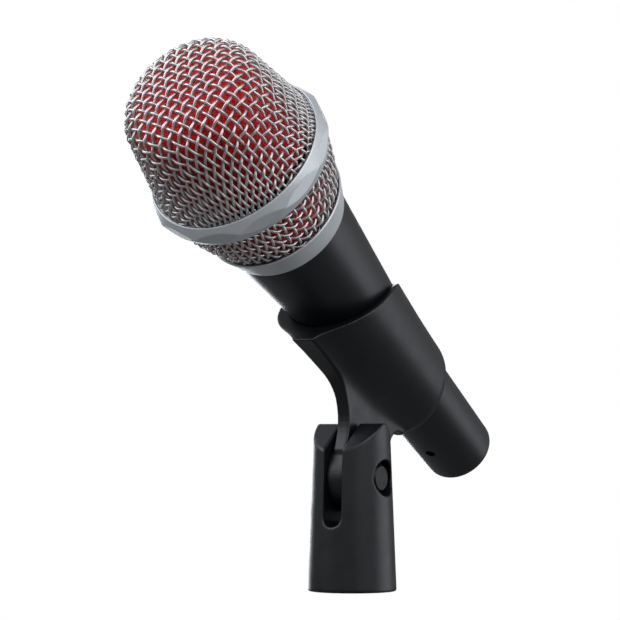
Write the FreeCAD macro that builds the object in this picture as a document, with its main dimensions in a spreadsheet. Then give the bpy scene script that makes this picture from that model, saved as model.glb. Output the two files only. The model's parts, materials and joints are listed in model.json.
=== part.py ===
import FreeCAD, Part
import Sketcher
import math
import os
import re

# A handheld dynamic microphone in its clip, on the clip's stand base.
#
# Row frame: the origin is the centre of the base's bottom face, where the
# stand's thread goes in. +Z is up. +X is the clip's pivot axis. The
# microphone leans towards -Y.
#
# Clip frame: origin on the pivot, +Z along the microphone's axis towards its
# head, +Y from the pivot towards that axis.
#
# Microphone frame: origin at the centre of the handle's tail end, +Z along
# the axis towards the head. Its heights are distances from the tail end.

Vector = FreeCAD.Vector
document = FreeCAD.newDocument("Microphone")

# ---------------------------------------------------------------- dimensions
# Name, value in millimetres (degrees for an angle), what it is.
DIMENSIONS = [
    ("mic_lean", 58.6, "angle between the microphone and the vertical"),
    ("pivot_height", 32.6, "pivot axis above the base's bottom"),
    ("axis_offset", 41.8, "pivot axis to the microphone's axis"),
    ("tail_reach", 53.2, "tail end to the foot of the pivot's perpendicular"),
    ("running_gap", 0.05, "clearance of fits that turn or slide"),
    ("press_gap", 0.02, "clearance of pieces that are pushed in"),
    ("seat_gap", 0.1, "clearance between pieces that are laid together"),
    ("sleeve_gap", 0.1, "clearance between the handle and the clip's sleeve"),
    ("tail_radius", 10.8, "handle radius at the tail"),
    ("tail_rounding", 1.6, "rounding of the tail's outer edge"),
    ("waist_station", 56.8, "where the handle's taper changes"),
    ("waist_radius", 11.9, "handle radius there"),
    ("handle_length", 120.8, "tail end to the handle's front end"),
    ("front_radius", 17.7, "handle radius at its front end"),
    ("handle_wall", 2.2, "handle wall"),
    ("socket_radius", 8.25, "bore of the cable socket"),
    ("socket_depth", 12.0, "tail end to the insulator's face"),
    ("insulator_length", 9.0, "thickness of the contact insulator"),
    ("bore_step", 1.0, "plain bore behind the insulator"),
    ("bore_taper", 4.0, "length over which the bore then widens"),
    ("contact_radius", 1.18, "radius of a contact pin"),
    ("contact_circle", 4.0, "contact pins from the axis"),
    ("contact_recess", 4.8, "pin tips behind the tail end"),
    ("contact_tail", 3.0, "solder cup behind the insulator"),
    ("contact_lip", 0.2, "solder cup outside the pin's radius"),
    ("contact_nose", 0.5, "broken edge of a pin's tip"),
    ("screw_radius", 1.5, "set screw that holds the insulator"),
    ("screw_station", 16.0, "set screw from the tail end"),
    ("screw_length", 1.7, "length of the set screw"),
    ("notch_width", 0.5, "width of the set screw's slot"),
    ("notch_depth", 0.6, "depth of the set screw's slot"),
    ("collar_seat", 8.8, "depth of the threaded collar in the handle"),
    ("thread_step", 1.7, "collar's thread inside the handle's outer radius"),
    ("thread_length", 7.0, "thread in front of the handle"),
    ("band_length", 8.2, "length of the grille's silver band"),
    ("band_step", 0.24, "band's rear edge outside the handle's front"),
    ("band_flare", 2.72, "how much the band widens towards the mesh"),
    ("band_lip", 1.7, "width of the band's front lip"),
    ("band_ledge", 0.8, "depth of the ledge behind the band's lip"),
    ("band_edge", 0.4, "broken edge of the band's lip"),
    ("mesh_thickness", 1.3, "thickness of the woven mesh"),
    ("lower_mesh_inset", 0.66, "lower mesh's foot inside the band's front edge"),
    ("lower_mesh_flare", 4.9, "how much the lower mesh widens to the ring"),
    ("lower_mesh_height", 16.4, "length of the lower mesh"),
    ("lower_mesh_bulge", 70.0, "radius of the lower mesh's bulge"),
    ("ring_lip", 0.3, "ring's lower edge outside the lower mesh"),
    ("ring_edge_rise", 3.9, "lower face to the ring's widest line"),
    ("ring_flare", 1.8, "lower edge to the ring's widest radius"),
    ("ring_height", 7.3, "height of the ring"),
    ("ring_fall", 1.7, "widest radius to the ring's upper edge"),
    ("ring_wall", 2.2, "width of the ring's lower face"),
    ("ring_turn", 20.0, "angle of the first corner of the ring"),
    ("upper_mesh_inset", 0.8, "upper mesh's foot inside the ring's upper edge"),
    ("side_fall", 3.93, "how much the upper mesh narrows up to its dome"),
    ("side_height", 21.4, "ring to the place where that dome starts"),
    ("knuckle_radius", 10.5, "rounding between the mesh's side and crown"),
    ("head_height", 31.1, "ring to the tip of the head"),
    ("foam_gap", 0.3, "mesh to foam"),
    ("foam_thickness", 2.4, "thickness of the foam lining"),
    ("carrier_share", 0.70625, "length of the carrier's tube, as a share of the handle from waist to mouth"),
    ("carrier_radius", 11.0, "outer radius of the carrier tube"),
    ("carrier_wall", 1.2, "wall of the carrier tube"),
    ("carrier_flange", 1.5, "thickness of the carrier's flange"),
    ("capsule_rise", 8.4, "capsule's rear face in front of the handle"),
    ("mount_length", 12.0, "length of the rubber shock mount"),
    ("mount_wall", 1.6, "wall of the shock mount"),
    ("mount_lead", 0.6, "taper at the shock mount's rear end"),
    ("mount_inset", 3.0, "shock mount behind the capsule"),
    ("cup_radius", 12.5, "outer radius of the magnet's cup"),
    ("cup_wall", 2.3, "wall of the cup"),
    ("cup_height", 12.0, "height of the cup"),
    ("magnet_step", 0.6, "magnet inside the pole plate's radius"),
    ("magnet_height", 7.0, "height of the magnet"),
    ("plate_radius", 8.6, "radius of the pole plate"),
    ("coil_gap", 0.4, "pole plate to the voice coil"),
    ("coil_wall", 0.7, "thickness of the winding"),
    ("coil_length", 5.7, "length of the voice coil"),
    ("film_thickness", 0.25, "thickness of the diaphragm"),
    ("film_rise", 3.6, "height of the diaphragm's dome"),
    ("basket_width", 2.85, "wall of the capsule's basket round the cup"),
    ("basket_ledge", 13.0, "basket's rear face to the diaphragm's seat"),
    ("basket_height", 18.2, "height of the basket"),
    ("basket_wall", 0.6, "wall in front of the diaphragm's seat"),
    ("cap_thickness", 1.8, "thickness of the capsule's perforated cap"),
    ("cap_hole_radius", 1.4, "radius of a hole in the cap"),
    ("cap_skirt", 0.9, "wall of the cap's skirt"),
    ("felt_inset", 1.4, "felt disc inside the cap's radius"),
    ("felt_thickness", 2.0, "thickness of the felt disc"),
    ("board_thickness", 1.5, "thickness of the terminal board"),
    ("terminal_radius", 0.9, "radius of a solder terminal"),
    ("terminal_length", 3.0, "length of a solder terminal"),
    ("terminal_spacing", 3.2, "terminal from the axis"),
    ("lead_radius", 0.6, "radius of an insulated signal lead"),
    ("lead_slack", 2.4, "how far a lead bows out of its line"),
    ("sleeve_front_station", 33.6, "front rim from the pivot, along the axis"),
    ("sleeve_front_radius", 17.0, "outer radius of the sleeve there"),
    ("sleeve_front_drop", 2.0, "its centre below the microphone's axis"),
    ("sleeve_front_slope", 0.453, "slope of the front rim"),
    ("sleeve_rear_station", 15.1, "rear rim behind the pivot"),
    ("sleeve_rear_radius", 13.9, "outer radius of the sleeve there"),
    ("sleeve_rear_drop", 0.1, "its centre below the microphone's axis"),
    ("sleeve_rear_slope", 0.5, "slope of the rear rim"),
    ("tab_thickness", 4.0, "thickness of the clip's tab"),
    ("boss_radius", 9.8, "radius of the tab's pivot boss"),
    ("keel_depth", 22.5, "keel's edge below the microphone's axis"),
    ("keel_curve", 16.0, "radius of the tab's front curve"),
    ("keel_station", 26.6, "where that curve starts, along the axis"),
    ("heel_station", 11.2, "tab's rear edge behind the pivot"),
    ("heel_depth", 22.3, "top of that edge below the microphone's axis"),
    ("heel_curve", 5.5, "radius of the curve above that edge"),
    ("flare_radius", 8.0, "fillet between the tab and the sleeve"),
    ("flare_bite", 0.15, "how far that fillet reaches into the sleeve"),
    ("flare_root", 2.0, "depth of the fillet's root inside the sleeve"),
    ("base_radius", 12.85, "base radius at the bottom"),
    ("base_top_radius", 11.0, "base radius at the top"),
    ("base_height", 46.6, "height of the base"),
    ("roof_drop", 6.4, "fall of the ears' top to the front and the rear"),
    ("roof_flat", 1.0, "half width of the ears' flat top"),
    ("slot_width", 6.0, "width of the slot between the ears"),
    ("slot_floor", 17.0, "lowest line of the slot above the bottom"),
    ("bolt_radius", 2.45, "radius of the pivot bolt"),
    ("head_radius", 4.4, "radius of the bolt's head"),
    ("head_thickness", 2.7, "thickness of the bolt's head"),
    ("head_bevel", 1.0, "bevel of the bolt's head"),
    ("head_clearance", 0.8, "recess round the bolt's head"),
    ("recess_floor", 6.4, "recess floors from the middle plane"),
    ("washer_thickness", 0.8, "thickness of the spring washer"),
    ("washer_step", 0.2, "spring washer inside the head's radius"),
    ("nut_flats", 8.0, "nut across its flats"),
    ("nut_height", 4.0, "height of the nut"),
    ("insert_wall", 1.56, "wall of the brass insert"),
    ("insert_length", 13.0, "length of the brass insert"),
    ("insert_bore", 7.94, "bore of the insert"),
    ("adapter_bore", 4.0, "bore of the thread adapter"),
    ("adapter_length", 12.0, "length of the thread adapter"),
    ("driver_slot_width", 2.0, "screwdriver slot in the adapter"),
    ("driver_slot_depth", 1.5, "depth of that slot"),
]

RING_SIDES = 12
# Contact pins 1, 2 and 3, as angles round the microphone's axis.
CONTACT_ANGLES = (145.0, 35.0, 270.0)
# Holes in the capsule's cap: number and distance from the axis, as a share of the cap's radius.
CAP_HOLE_CIRCLES = ((1, 0.0), (6, 0.325), (10, 0.65))

sheet = document.addObject("Spreadsheet::Sheet", "Dimensions")
for row, (name, size, meaning) in enumerate(DIMENSIONS, start=1):
    sheet.set(f"A{row}", meaning)
    sheet.set(f"B{row}", str(size))
    sheet.setAlias(f"B{row}", name)
document.recompute()

ALIASES = {name for name, size, meaning in DIMENSIONS}

# Sizes and places that follow from the dimensions, each as an expression.
DERIVED = {
    "thread_radius": "front_radius - thread_step",
    "collar_bore": "carrier_radius + mount_wall",
    "band_rear_radius": "front_radius + band_step",
    "band_front_radius": "band_rear_radius + band_flare",
    "lower_mesh_foot": "band_front_radius - lower_mesh_inset",
    "lower_mesh_head": "lower_mesh_foot + lower_mesh_flare",
    "ring_station": "handle_length + band_length + lower_mesh_height + 2 * seat_gap",
    "ring_top": "ring_station + ring_height",
    "ring_lower_radius": "lower_mesh_head + ring_lip",
    "ring_radius": "ring_lower_radius + ring_flare",
    "ring_upper_radius": "ring_radius - ring_fall",
    "ring_bore": "ring_lower_radius - ring_wall",
    "upper_mesh_foot": "ring_upper_radius - upper_mesh_inset",
    "shoulder_radius": "upper_mesh_foot - side_fall",
    "shoulder_station": "ring_top + side_height",
    "mic_length": "ring_top + head_height",
    "capsule_station": "handle_length + capsule_rise",
    "carrier_length": "carrier_share * (handle_length - waist_station)",
    "carrier_station": "capsule_station - carrier_length",
    "magnet_radius": "plate_radius - magnet_step",
    "coil_inner": "plate_radius + coil_gap",
    "basket_radius": "cup_radius + running_gap + basket_width",
    "felt_radius": "basket_radius - felt_inset",
    "recess_radius": "head_radius + head_clearance",
    "washer_radius": "head_radius - washer_step",
    "insert_radius": "insert_bore + insert_wall",
}


# ------------------------------------------------------------------- helpers
def bound(expression):
    """Write an expression of dimension names as one that reads the sheet."""
    def qualify(match):
        word = match.group(0)
        if word in DERIVED:
            return f"({bound(DERIVED[word])})"
        return f"Dimensions.{word}" if word in ALIASES else word
    return re.sub(r"[A-Za-z_]\w*", qualify, expression)


def number(expression):
    """Value of an expression of dimension names."""
    return float(sheet.evalExpression(bound(expression)))


def bind(item, settings):
    """Bind properties of an object to expressions of dimension names."""
    for path, expression in settings.items():
        item.setExpression(path, bound(expression))


def turn_about(item, axis, angle_expression):
    """Turn an object about an axis by an angle that is bound to the sheet."""
    item.Placement = FreeCAD.Placement(Vector(), FreeCAD.Rotation(axis, 10.0))
    bind(item, {"Placement.Rotation.Angle": f"({angle_expression}) * 1 deg"})


def put_in_clip(item):
    """Place an object that is drawn in the clip's frame."""
    turn_about(item, Vector(1, 0, 0), "mic_lean")
    bind(item, {"Placement.Base.z": "pivot_height"})


def put_in_microphone(item):
    """Place an object that is drawn in the microphone's frame."""
    turn_about(item, Vector(1, 0, 0), "mic_lean")
    bind(item, {
        "Placement.Base.y": "axis_offset * cos(mic_lean) + tail_reach * sin(mic_lean)",
        "Placement.Base.z": "pivot_height + axis_offset * sin(mic_lean) - tail_reach * cos(mic_lean)",
    })


def arc_edge(start, end, radius, left):
    """Shorter arc from start to end; left says that its centre is on the left."""
    chord = end - start
    middle = (start + end) / 2
    height = math.sqrt(max(radius ** 2 - (chord.Length / 2) ** 2, 0.0))
    across = Vector(-chord.y, chord.x, 0).normalize()
    centre = middle + across * (height if left else -height)
    circle = Part.Circle(centre, Vector(0, 0, 1), radius)
    first, last = (start, end) if left else (end, start)
    return Part.ArcOfCircle(circle, circle.parameter(first), circle.parameter(last))


def draw(sketch, outline):
    """Draw a closed outline whose corners are bound to the sheet.

    Each corner is (x, y), or (x, y, radius, left) where an arc leads to the
    next corner.
    """
    corners = [Vector(number(corner[0]), number(corner[1]), 0) for corner in outline]
    count = len(corners)
    ends = []
    for index, corner in enumerate(outline):
        start = corners[index]
        end = corners[(index + 1) % count]
        if len(corner) == 2:
            sketch.addGeometry(Part.LineSegment(start, end), False)
            ends.append((1, 2))
        else:
            left = corner[3]
            edge = arc_edge(start, end, number(corner[2]), left)
            sketch.addGeometry(edge, False)
            ends.append((1, 2) if left else (2, 1))
    for index in range(count):
        following = (index + 1) % count
        sketch.addConstraint(
            Sketcher.Constraint("Coincident", index, ends[index][1], following, ends[following][0]))
    for index, corner in enumerate(outline):
        first = ends[index][0]
        for kind, expression in (("DistanceX", corner[0]), ("DistanceY", corner[1])):
            rule = Sketcher.Constraint(kind, -1, 1, index, first, number(expression))
            place = sketch.addConstraint(rule)
            sketch.setExpression(f"Constraints[{place}]", bound(expression))
        if len(corner) == 4:
            rule = Sketcher.Constraint("Radius", index, number(corner[2]))
            place = sketch.addConstraint(rule)
            sketch.setExpression(f"Constraints[{place}]", bound(corner[2]))


def origin_plane(body, role):
    """One of a body's own origin planes."""
    return next(plane for plane in body.Origin.OriginFeatures if plane.Role == role)


def turned(label, outline):
    """Body turned about its own Z axis from an outline of (radius, height)."""
    body = document.addObject("PartDesign::Body", label)
    body.Label = label
    sketch = body.newObject("Sketcher::SketchObject", f"{label}_outline")
    sketch.AttachmentSupport = [(origin_plane(body, "XZ_Plane"), "")]
    sketch.MapMode = "FlatFace"
    draw(sketch, outline)
    turning = body.newObject("PartDesign::Revolution", f"{label}_turning")
    turning.Profile = sketch
    turning.ReferenceAxis = (sketch, ["V_Axis"])
    turning.Angle = 360.0
    document.recompute()
    return body


def ring_of(inner, outer, low, high):
    """Outline of a plain ring."""
    return [(inner, low), (outer, low), (outer, high), (inner, high)]


def plain_sketch(name, rotation, outline):
    """Sketch that stands free in the document, turned to its plane."""
    sketch = document.addObject("Sketcher::SketchObject", name)
    sketch.Placement = FreeCAD.Placement(Vector(), rotation)
    draw(sketch, outline)
    return sketch


# Sketch planes: X is across and Y up in each sketch.
FRONT_PLANE = FreeCAD.Rotation(Vector(1, 0, 0), 90)
SIDE_PLANE = FreeCAD.Rotation(Vector(1, 1, 1), 120)


def plate(name, rotation, outline, width):
    """Prism of an outline, as wide as given and centred on its plane."""
    extrusion = document.addObject("Part::Extrusion", name)
    extrusion.Base = plain_sketch(f"{name}_outline", rotation, outline)
    extrusion.DirMode = "Normal"
    extrusion.Solid = True
    extrusion.Symmetric = True
    bind(extrusion, {"LengthFwd": width})
    return extrusion


def cylinder(name, radius, height, rotation=FreeCAD.Rotation()):
    """Cylinder from the origin along its turned Z axis."""
    item = document.addObject("Part::Cylinder", name)
    item.Placement = FreeCAD.Placement(Vector(), rotation)
    bind(item, {"Radius": radius, "Height": height})
    return item


ALONG_X = FreeCAD.Rotation(Vector(0, 1, 0), 90)
ALONG_Y = FreeCAD.Rotation(Vector(1, 0, 0), -90)


def joined(name, items):
    """Union of several objects."""
    union = document.addObject("Part::MultiFuse", name)
    union.Shapes = items
    return union


def cut(label, base, tool):
    """Base without the tool."""
    item = document.addObject("Part::Cut", label)
    item.Label = label
    item.Base = base
    item.Tool = tool
    return item


def common(name, items):
    """What several objects share."""
    item = document.addObject("Part::MultiCommon", name)
    item.Shapes = items
    return item


# ---------------------------------------------------------------- stand base
def stand_base():
    """Tapered moulded base with two ears, a slot and a stepped pivot hole."""
    solid = turned("base_solid", [
        ("0", "insert_length"), ("insert_radius", "insert_length"), ("insert_radius", "0"),
        ("base_radius", "0"), ("base_top_radius", "base_height"), ("0", "base_height")])
    eaves = "base_height - roof_drop"
    roof = plate("base_side", SIDE_PLANE, [
        ("-base_radius", "0"), ("base_radius", "0"), ("base_radius", eaves),
        ("base_top_radius", eaves), ("roof_flat", "base_height"),
        ("-roof_flat", "base_height"), ("-base_top_radius", eaves), ("-base_radius", eaves)],
        "3 * base_radius")
    roofed = common("base_roofed", [solid, roof])
    half = "slot_width / 2"
    slot = plate("slot", FRONT_PLANE, [
        (f"-{half}", f"slot_floor + {half}", half, True), ("0", "slot_floor", half, True),
        (half, f"slot_floor + {half}"),
        (half, "base_height + 1"), (f"-{half}", "base_height + 1")],
        "3 * base_radius")
    hole = cylinder("pivot_hole", "bolt_radius + running_gap", "3 * base_radius", ALONG_X)
    bind(hole, {"Placement.Base.x": "-1.5 * base_radius", "Placement.Base.z": "pivot_height"})
    recess = cylinder("head_recess", "recess_radius", "base_radius", ALONG_X)
    bind(recess, {"Placement.Base.x": "recess_floor", "Placement.Base.z": "pivot_height"})
    pocket = document.addObject("Part::Prism", "nut_pocket")
    pocket.Polygon = 6
    pocket.Placement = FreeCAD.Placement(Vector(), ALONG_X)
    bind(pocket, {
        "Circumradius": "(nut_flats / 2 + seat_gap) / cos(30)", "Height": "base_radius",
        "Placement.Base.x": "-recess_floor - base_radius", "Placement.Base.z": "pivot_height"})
    cut("stand_base", roofed, joined("base_cuts", [slot, hole, recess, pocket]))


def stand_fittings():
    """Brass insert, thread adapter, pivot bolt, spring washer and nut."""
    turned("thread_insert", ring_of("insert_bore", "insert_radius", "0", "insert_length"))
    adapter = turned("adapter_blank", ring_of(
        "adapter_bore", "insert_bore - running_gap", "0", "adapter_length"))
    driver_slot = document.addObject("Part::Box", "driver_slot")
    bind(driver_slot, {
        "Length": "3 * insert_bore", "Width": "driver_slot_width", "Height": "driver_slot_depth",
        "Placement.Base.x": "-1.5 * insert_bore", "Placement.Base.y": "-driver_slot_width / 2"})
    cut("thread_adapter", adapter, driver_slot)

    bolt_end = "recess_floor + nut_height"
    head_seat = "recess_floor + washer_thickness"
    bolt = turned("pivot_bolt", [
        ("0", f"-({bolt_end})"), ("bolt_radius", f"-({bolt_end})"), ("bolt_radius", head_seat),
        ("head_radius", head_seat), ("head_radius", f"{head_seat} + head_thickness - head_bevel"),
        ("head_radius - head_bevel", f"{head_seat} + head_thickness"),
        ("0", f"{head_seat} + head_thickness")])
    washer = turned("spring_washer", ring_of(
        "bolt_radius + running_gap", "washer_radius", "recess_floor", head_seat))
    for item in (bolt, washer):
        item.Placement = FreeCAD.Placement(Vector(), ALONG_X)
        bind(item, {"Placement.Base.z": "pivot_height"})

    hexagon = document.addObject("Part::Prism", "nut_hexagon")
    hexagon.Polygon = 6
    bind(hexagon, {"Circumradius": "nut_flats / 2 / cos(30)", "Height": "nut_height"})
    bore = cylinder("nut_bore", "bolt_radius + running_gap", "nut_height")
    nut = cut("pivot_nut", hexagon, bore)
    nut.Placement = FreeCAD.Placement(Vector(), ALONG_X)
    bind(nut, {"Placement.Base.x": f"-({bolt_end})", "Placement.Base.z": "pivot_height"})


# ---------------------------------------------------------------------- clip
SLEEVE_TAPER = ("(sleeve_front_radius - sleeve_rear_radius)"
                " / (sleeve_front_station + sleeve_rear_station)")
SLEEVE_SINK = ("(sleeve_front_drop - sleeve_rear_drop)"
               " / (sleeve_front_station + sleeve_rear_station)")


def sleeve_radius(station):
    """Outer radius of the sleeve at a station along the microphone's axis."""
    return f"(sleeve_rear_radius + (({station}) + sleeve_rear_station) * {SLEEVE_TAPER})"


def sleeve_centre(station):
    """Centre of the sleeve's outline there, from the pivot."""
    return f"(axis_offset - sleeve_rear_drop - (({station}) + sleeve_rear_station) * {SLEEVE_SINK})"


def flare_section(name, station):
    """Section of the tab, widening in two fillets into the sleeve."""
    radius = f"({sleeve_radius(station)} - flare_bite)"
    centre = sleeve_centre(station)
    half = "tab_thickness / 2"
    drop = f"sqrt(({radius} + flare_radius)^2 - ({half} + flare_radius)^2)"
    share = f"{radius} / ({radius} + flare_radius)"
    tip_x = f"(({half} + flare_radius) * {share})"
    tip_y = f"({centre} - {drop} * {share})"
    low = "-1.5 * boss_radius"
    outline = [
        (f"-{half}", low), (half, low),
        (half, f"{centre} - {drop}", "flare_radius", False),
        (tip_x, tip_y), (f"{tip_x} - flare_root", f"{tip_y} + 2 * flare_root"),
        (f"-{tip_x} + flare_root", f"{tip_y} + 2 * flare_root"),
        (f"-{tip_x}", tip_y, "flare_radius", False),
        (f"-{half}", f"{centre} - {drop}")]
    sketch = plain_sketch(name, FreeCAD.Rotation(), outline)
    bind(sketch, {"Placement.Base.z": station})
    return sketch


def clip_sleeve():
    """Sleeve, flared tab and pivot boss of the clip, moulded in one."""
    front_end = "sleeve_front_station + sleeve_front_radius"
    rear_end = "-sleeve_rear_station - sleeve_rear_radius"
    barrel = document.addObject("Part::Cone", "sleeve_barrel")
    barrel.Placement = FreeCAD.Placement(Vector(), FreeCAD.Rotation(Vector(1, 0, 0), 2.0))
    bind(barrel, {
        "Radius1": sleeve_radius(rear_end), "Radius2": sleeve_radius(front_end),
        "Height": f"({front_end}) - ({rear_end})",
        "Placement.Rotation.Angle": f"atan({SLEEVE_SINK})",
        "Placement.Base.y": sleeve_centre(rear_end), "Placement.Base.z": rear_end})

    flare = document.addObject("Part::Loft", "tab_flare")
    flare.Sections = [flare_section("flare_rear", rear_end), flare_section("flare_front", front_end)]
    flare.Solid = True
    flare.Ruled = True
    keel = "axis_offset - keel_depth"
    heel = "axis_offset - heel_depth"
    barrel_inside = "axis_offset - sleeve_rear_radius * 0.8"
    tab_outline = plate("tab_side", SIDE_PLANE, [
        ("0", "-boss_radius"),
        (heel, "-heel_station", "heel_curve", False),
        (f"{heel} + heel_curve", "-heel_station - heel_curve"),
        (barrel_inside, "-sleeve_rear_station - sleeve_rear_radius * 0.6"),
        (barrel_inside, front_end),
        (keel, front_end),
        (keel, "keel_station", "keel_curve", False),
        (f"{keel} - keel_curve", "keel_station - keel_curve"),
        ("0", "boss_radius")],
        "6 * sleeve_front_radius")
    tab = common("tab", [flare, tab_outline])
    boss_width = "(slot_width - 2 * running_gap)"
    boss = cylinder("pivot_boss", "boss_radius", boss_width, ALONG_X)
    bind(boss, {"Placement.Base.x": f"-{boss_width} / 2"})

    side = "sleeve_front_radius * 1.5"
    front_low = f"sleeve_front_station + sleeve_front_slope * {side}"
    rear_low = f"-sleeve_rear_station - sleeve_rear_slope * {side}"
    rims = plate("rim_planes", SIDE_PLANE, [
        (f"axis_offset + {side}", f"-sleeve_rear_station + sleeve_rear_slope * {side}"),
        (f"axis_offset + {side}", f"sleeve_front_station - sleeve_front_slope * {side}"),
        (f"axis_offset - {side}", front_low),
        ("-2 * boss_radius", front_low),
        ("-2 * boss_radius", rear_low),
        (f"axis_offset - {side}", rear_low)],
        "6 * sleeve_front_radius")
    moulding = common("clip_moulding", [joined("clip_solid", [barrel, tab, boss]), rims])

    taper = "(front_radius - waist_radius) / (handle_length - waist_station)"
    reach = "sleeve_front_radius * 2"
    bore = turned("sleeve_bore", [
        ("0", "0"), ("tail_radius + sleeve_gap", "0"), ("waist_radius + sleeve_gap", "waist_station"),
        (f"waist_radius + sleeve_gap + {taper} * (handle_length + {reach} - waist_station)",
         f"handle_length + {reach}"),
        ("0", f"handle_length + {reach}")])
    bind(bore, {"Placement.Base.y": "axis_offset", "Placement.Base.z": "-tail_reach"})
    hole = cylinder("boss_hole", "bolt_radius + running_gap", "3 * slot_width", ALONG_X)
    bind(hole, {"Placement.Base.x": "-1.5 * slot_width"})
    put_in_clip(cut("clip_sleeve", moulding, joined("clip_cuts", [bore, hole])))


# ---------------------------------------------------------- handle and socket
def handle_body():
    """Die-cast handle: a tapered shell whose tail is the cable socket."""
    inner_waist = "waist_radius - handle_wall"
    blank = turned("handle_blank", [
        ("socket_radius", "0"),
        ("tail_radius - tail_rounding", "0", "tail_rounding", True),
        ("tail_radius", "tail_rounding"), ("waist_radius", "waist_station"),
        ("front_radius", "handle_length"), ("front_radius - handle_wall", "handle_length"),
        (inner_waist, "waist_station"),
        (inner_waist, "socket_depth + insulator_length + bore_step + bore_taper"),
        ("socket_radius", "socket_depth + insulator_length + bore_step")])
    hole = cylinder("screw_hole", "screw_radius + running_gap", "tail_radius", ALONG_Y)
    bind(hole, {"Placement.Base.y": "-socket_radius * 0.6 - tail_radius",
                "Placement.Base.z": "screw_station"})
    put_in_microphone(cut("handle_body", blank, hole))


def cable_socket():
    """Insulator with three contact pins, held by a set screw."""
    face = "socket_depth"
    back = "(socket_depth + insulator_length)"
    disc = turned("insulator_blank", [
        ("0", face), ("socket_radius - running_gap", face), ("socket_radius - running_gap", back),
        ("0", back)])
    holes = []
    pins = []
    for index, angle in enumerate(CONTACT_ANGLES, start=1):
        place = {
            "Placement.Base.x": f"contact_circle * cos({angle})",
            "Placement.Base.y": f"contact_circle * sin({angle})"}
        hole = cylinder(f"contact_hole_{index}", "contact_radius + press_gap", "2 * handle_length")
        bind(hole, place)
        holes.append(hole)
        cup = "contact_radius + contact_lip"
        pin = turned(f"contact_{index}", [
            ("0", "contact_recess"), ("contact_radius - contact_nose", "contact_recess"),
            ("contact_radius", "contact_recess + contact_nose"),
            ("contact_radius", back), (cup, back), (cup, f"{back} + contact_tail"),
            ("0", f"{back} + contact_tail")])
        bind(pin, place)
        pins.append(pin)
    put_in_microphone(cut("xlr_insulator", disc, joined("contact_holes", holes)))
    group = document.addObject("Part::Compound", "xlr_pins")
    group.Label = "xlr_pins"
    group.Links = pins
    put_in_microphone(group)

    blank = cylinder("screw_blank", "screw_radius", "screw_length", ALONG_Y)
    bind(blank, {"Placement.Base.y": "-socket_radius - screw_length", "Placement.Base.z": "screw_station"})
    notch = document.addObject("Part::Box", "screw_notch")
    bind(notch, {
        "Length": "notch_width", "Width": "notch_depth", "Height": "2 * screw_radius",
        "Placement.Base.x": "-notch_width / 2", "Placement.Base.y": "-socket_radius - screw_length",
        "Placement.Base.z": "screw_station - screw_radius"})
    put_in_microphone(cut("xlr_set_screw", blank, notch))


def lead_path(points):
    """Wire of straight runs joined by tangent arcs, through a few points."""
    edges = []
    start = points[0]
    for before, corner, after in zip(points, points[1:], points[2:]):
        into = (corner - before).normalize()
        out = (after - corner).normalize()
        trim = 0.45 * min((corner - before).Length, (after - corner).Length)
        bisector = (out - into).normalize()
        half_turn = into.getAngle(out) / 2
        radius = trim / math.tan(half_turn)
        depth = radius / math.cos(half_turn) - radius
        first = corner - into * trim
        last = corner + out * trim
        edges.append(Part.LineSegment(start, first).toShape())
        edges.append(Part.Arc(first, corner + bisector * depth, last).toShape())
        start = last
    edges.append(Part.LineSegment(start, points[-1]).toShape())
    return Part.Wire(edges)


def signal_leads():
    """Two insulated wires from the capsule's terminals to pins 2 and 3."""
    top = number("carrier_station - terminal_length")
    bottom = number("socket_depth + insulator_length + contact_tail")
    slack = number("lead_slack")
    wires = []
    for side, angle in ((1, CONTACT_ANGLES[1]), (-1, CONTACT_ANGLES[2])):
        terminal = Vector(side * number("terminal_spacing"), 0, 0)
        contact = Vector(math.cos(math.radians(angle)), math.sin(math.radians(angle)), 0)
        contact *= number("contact_circle")
        up = Vector(0, 0, 1)
        points = [
            terminal + up * top,
            terminal + up * (0.85 * top + 0.15 * bottom),
            terminal + Vector(side * slack, side * slack, 0) + up * (0.62 * top + 0.38 * bottom),
            contact + Vector(side * slack * 0.4, 0, 0) + up * (0.35 * top + 0.65 * bottom),
            contact + up * (0.12 * top + 0.88 * bottom),
            contact + up * bottom]
        path = lead_path(points)
        section = Part.Wire(Part.Circle(points[0], up, number("lead_radius")).toShape())
        wires.append(path.makePipeShell([section], True, True))
    leads = document.addObject("Part::Feature", "signal_leads")
    leads.Label = "signal_leads"
    leads.Shape = Part.makeCompound(wires)
    put_in_microphone(leads)


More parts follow.
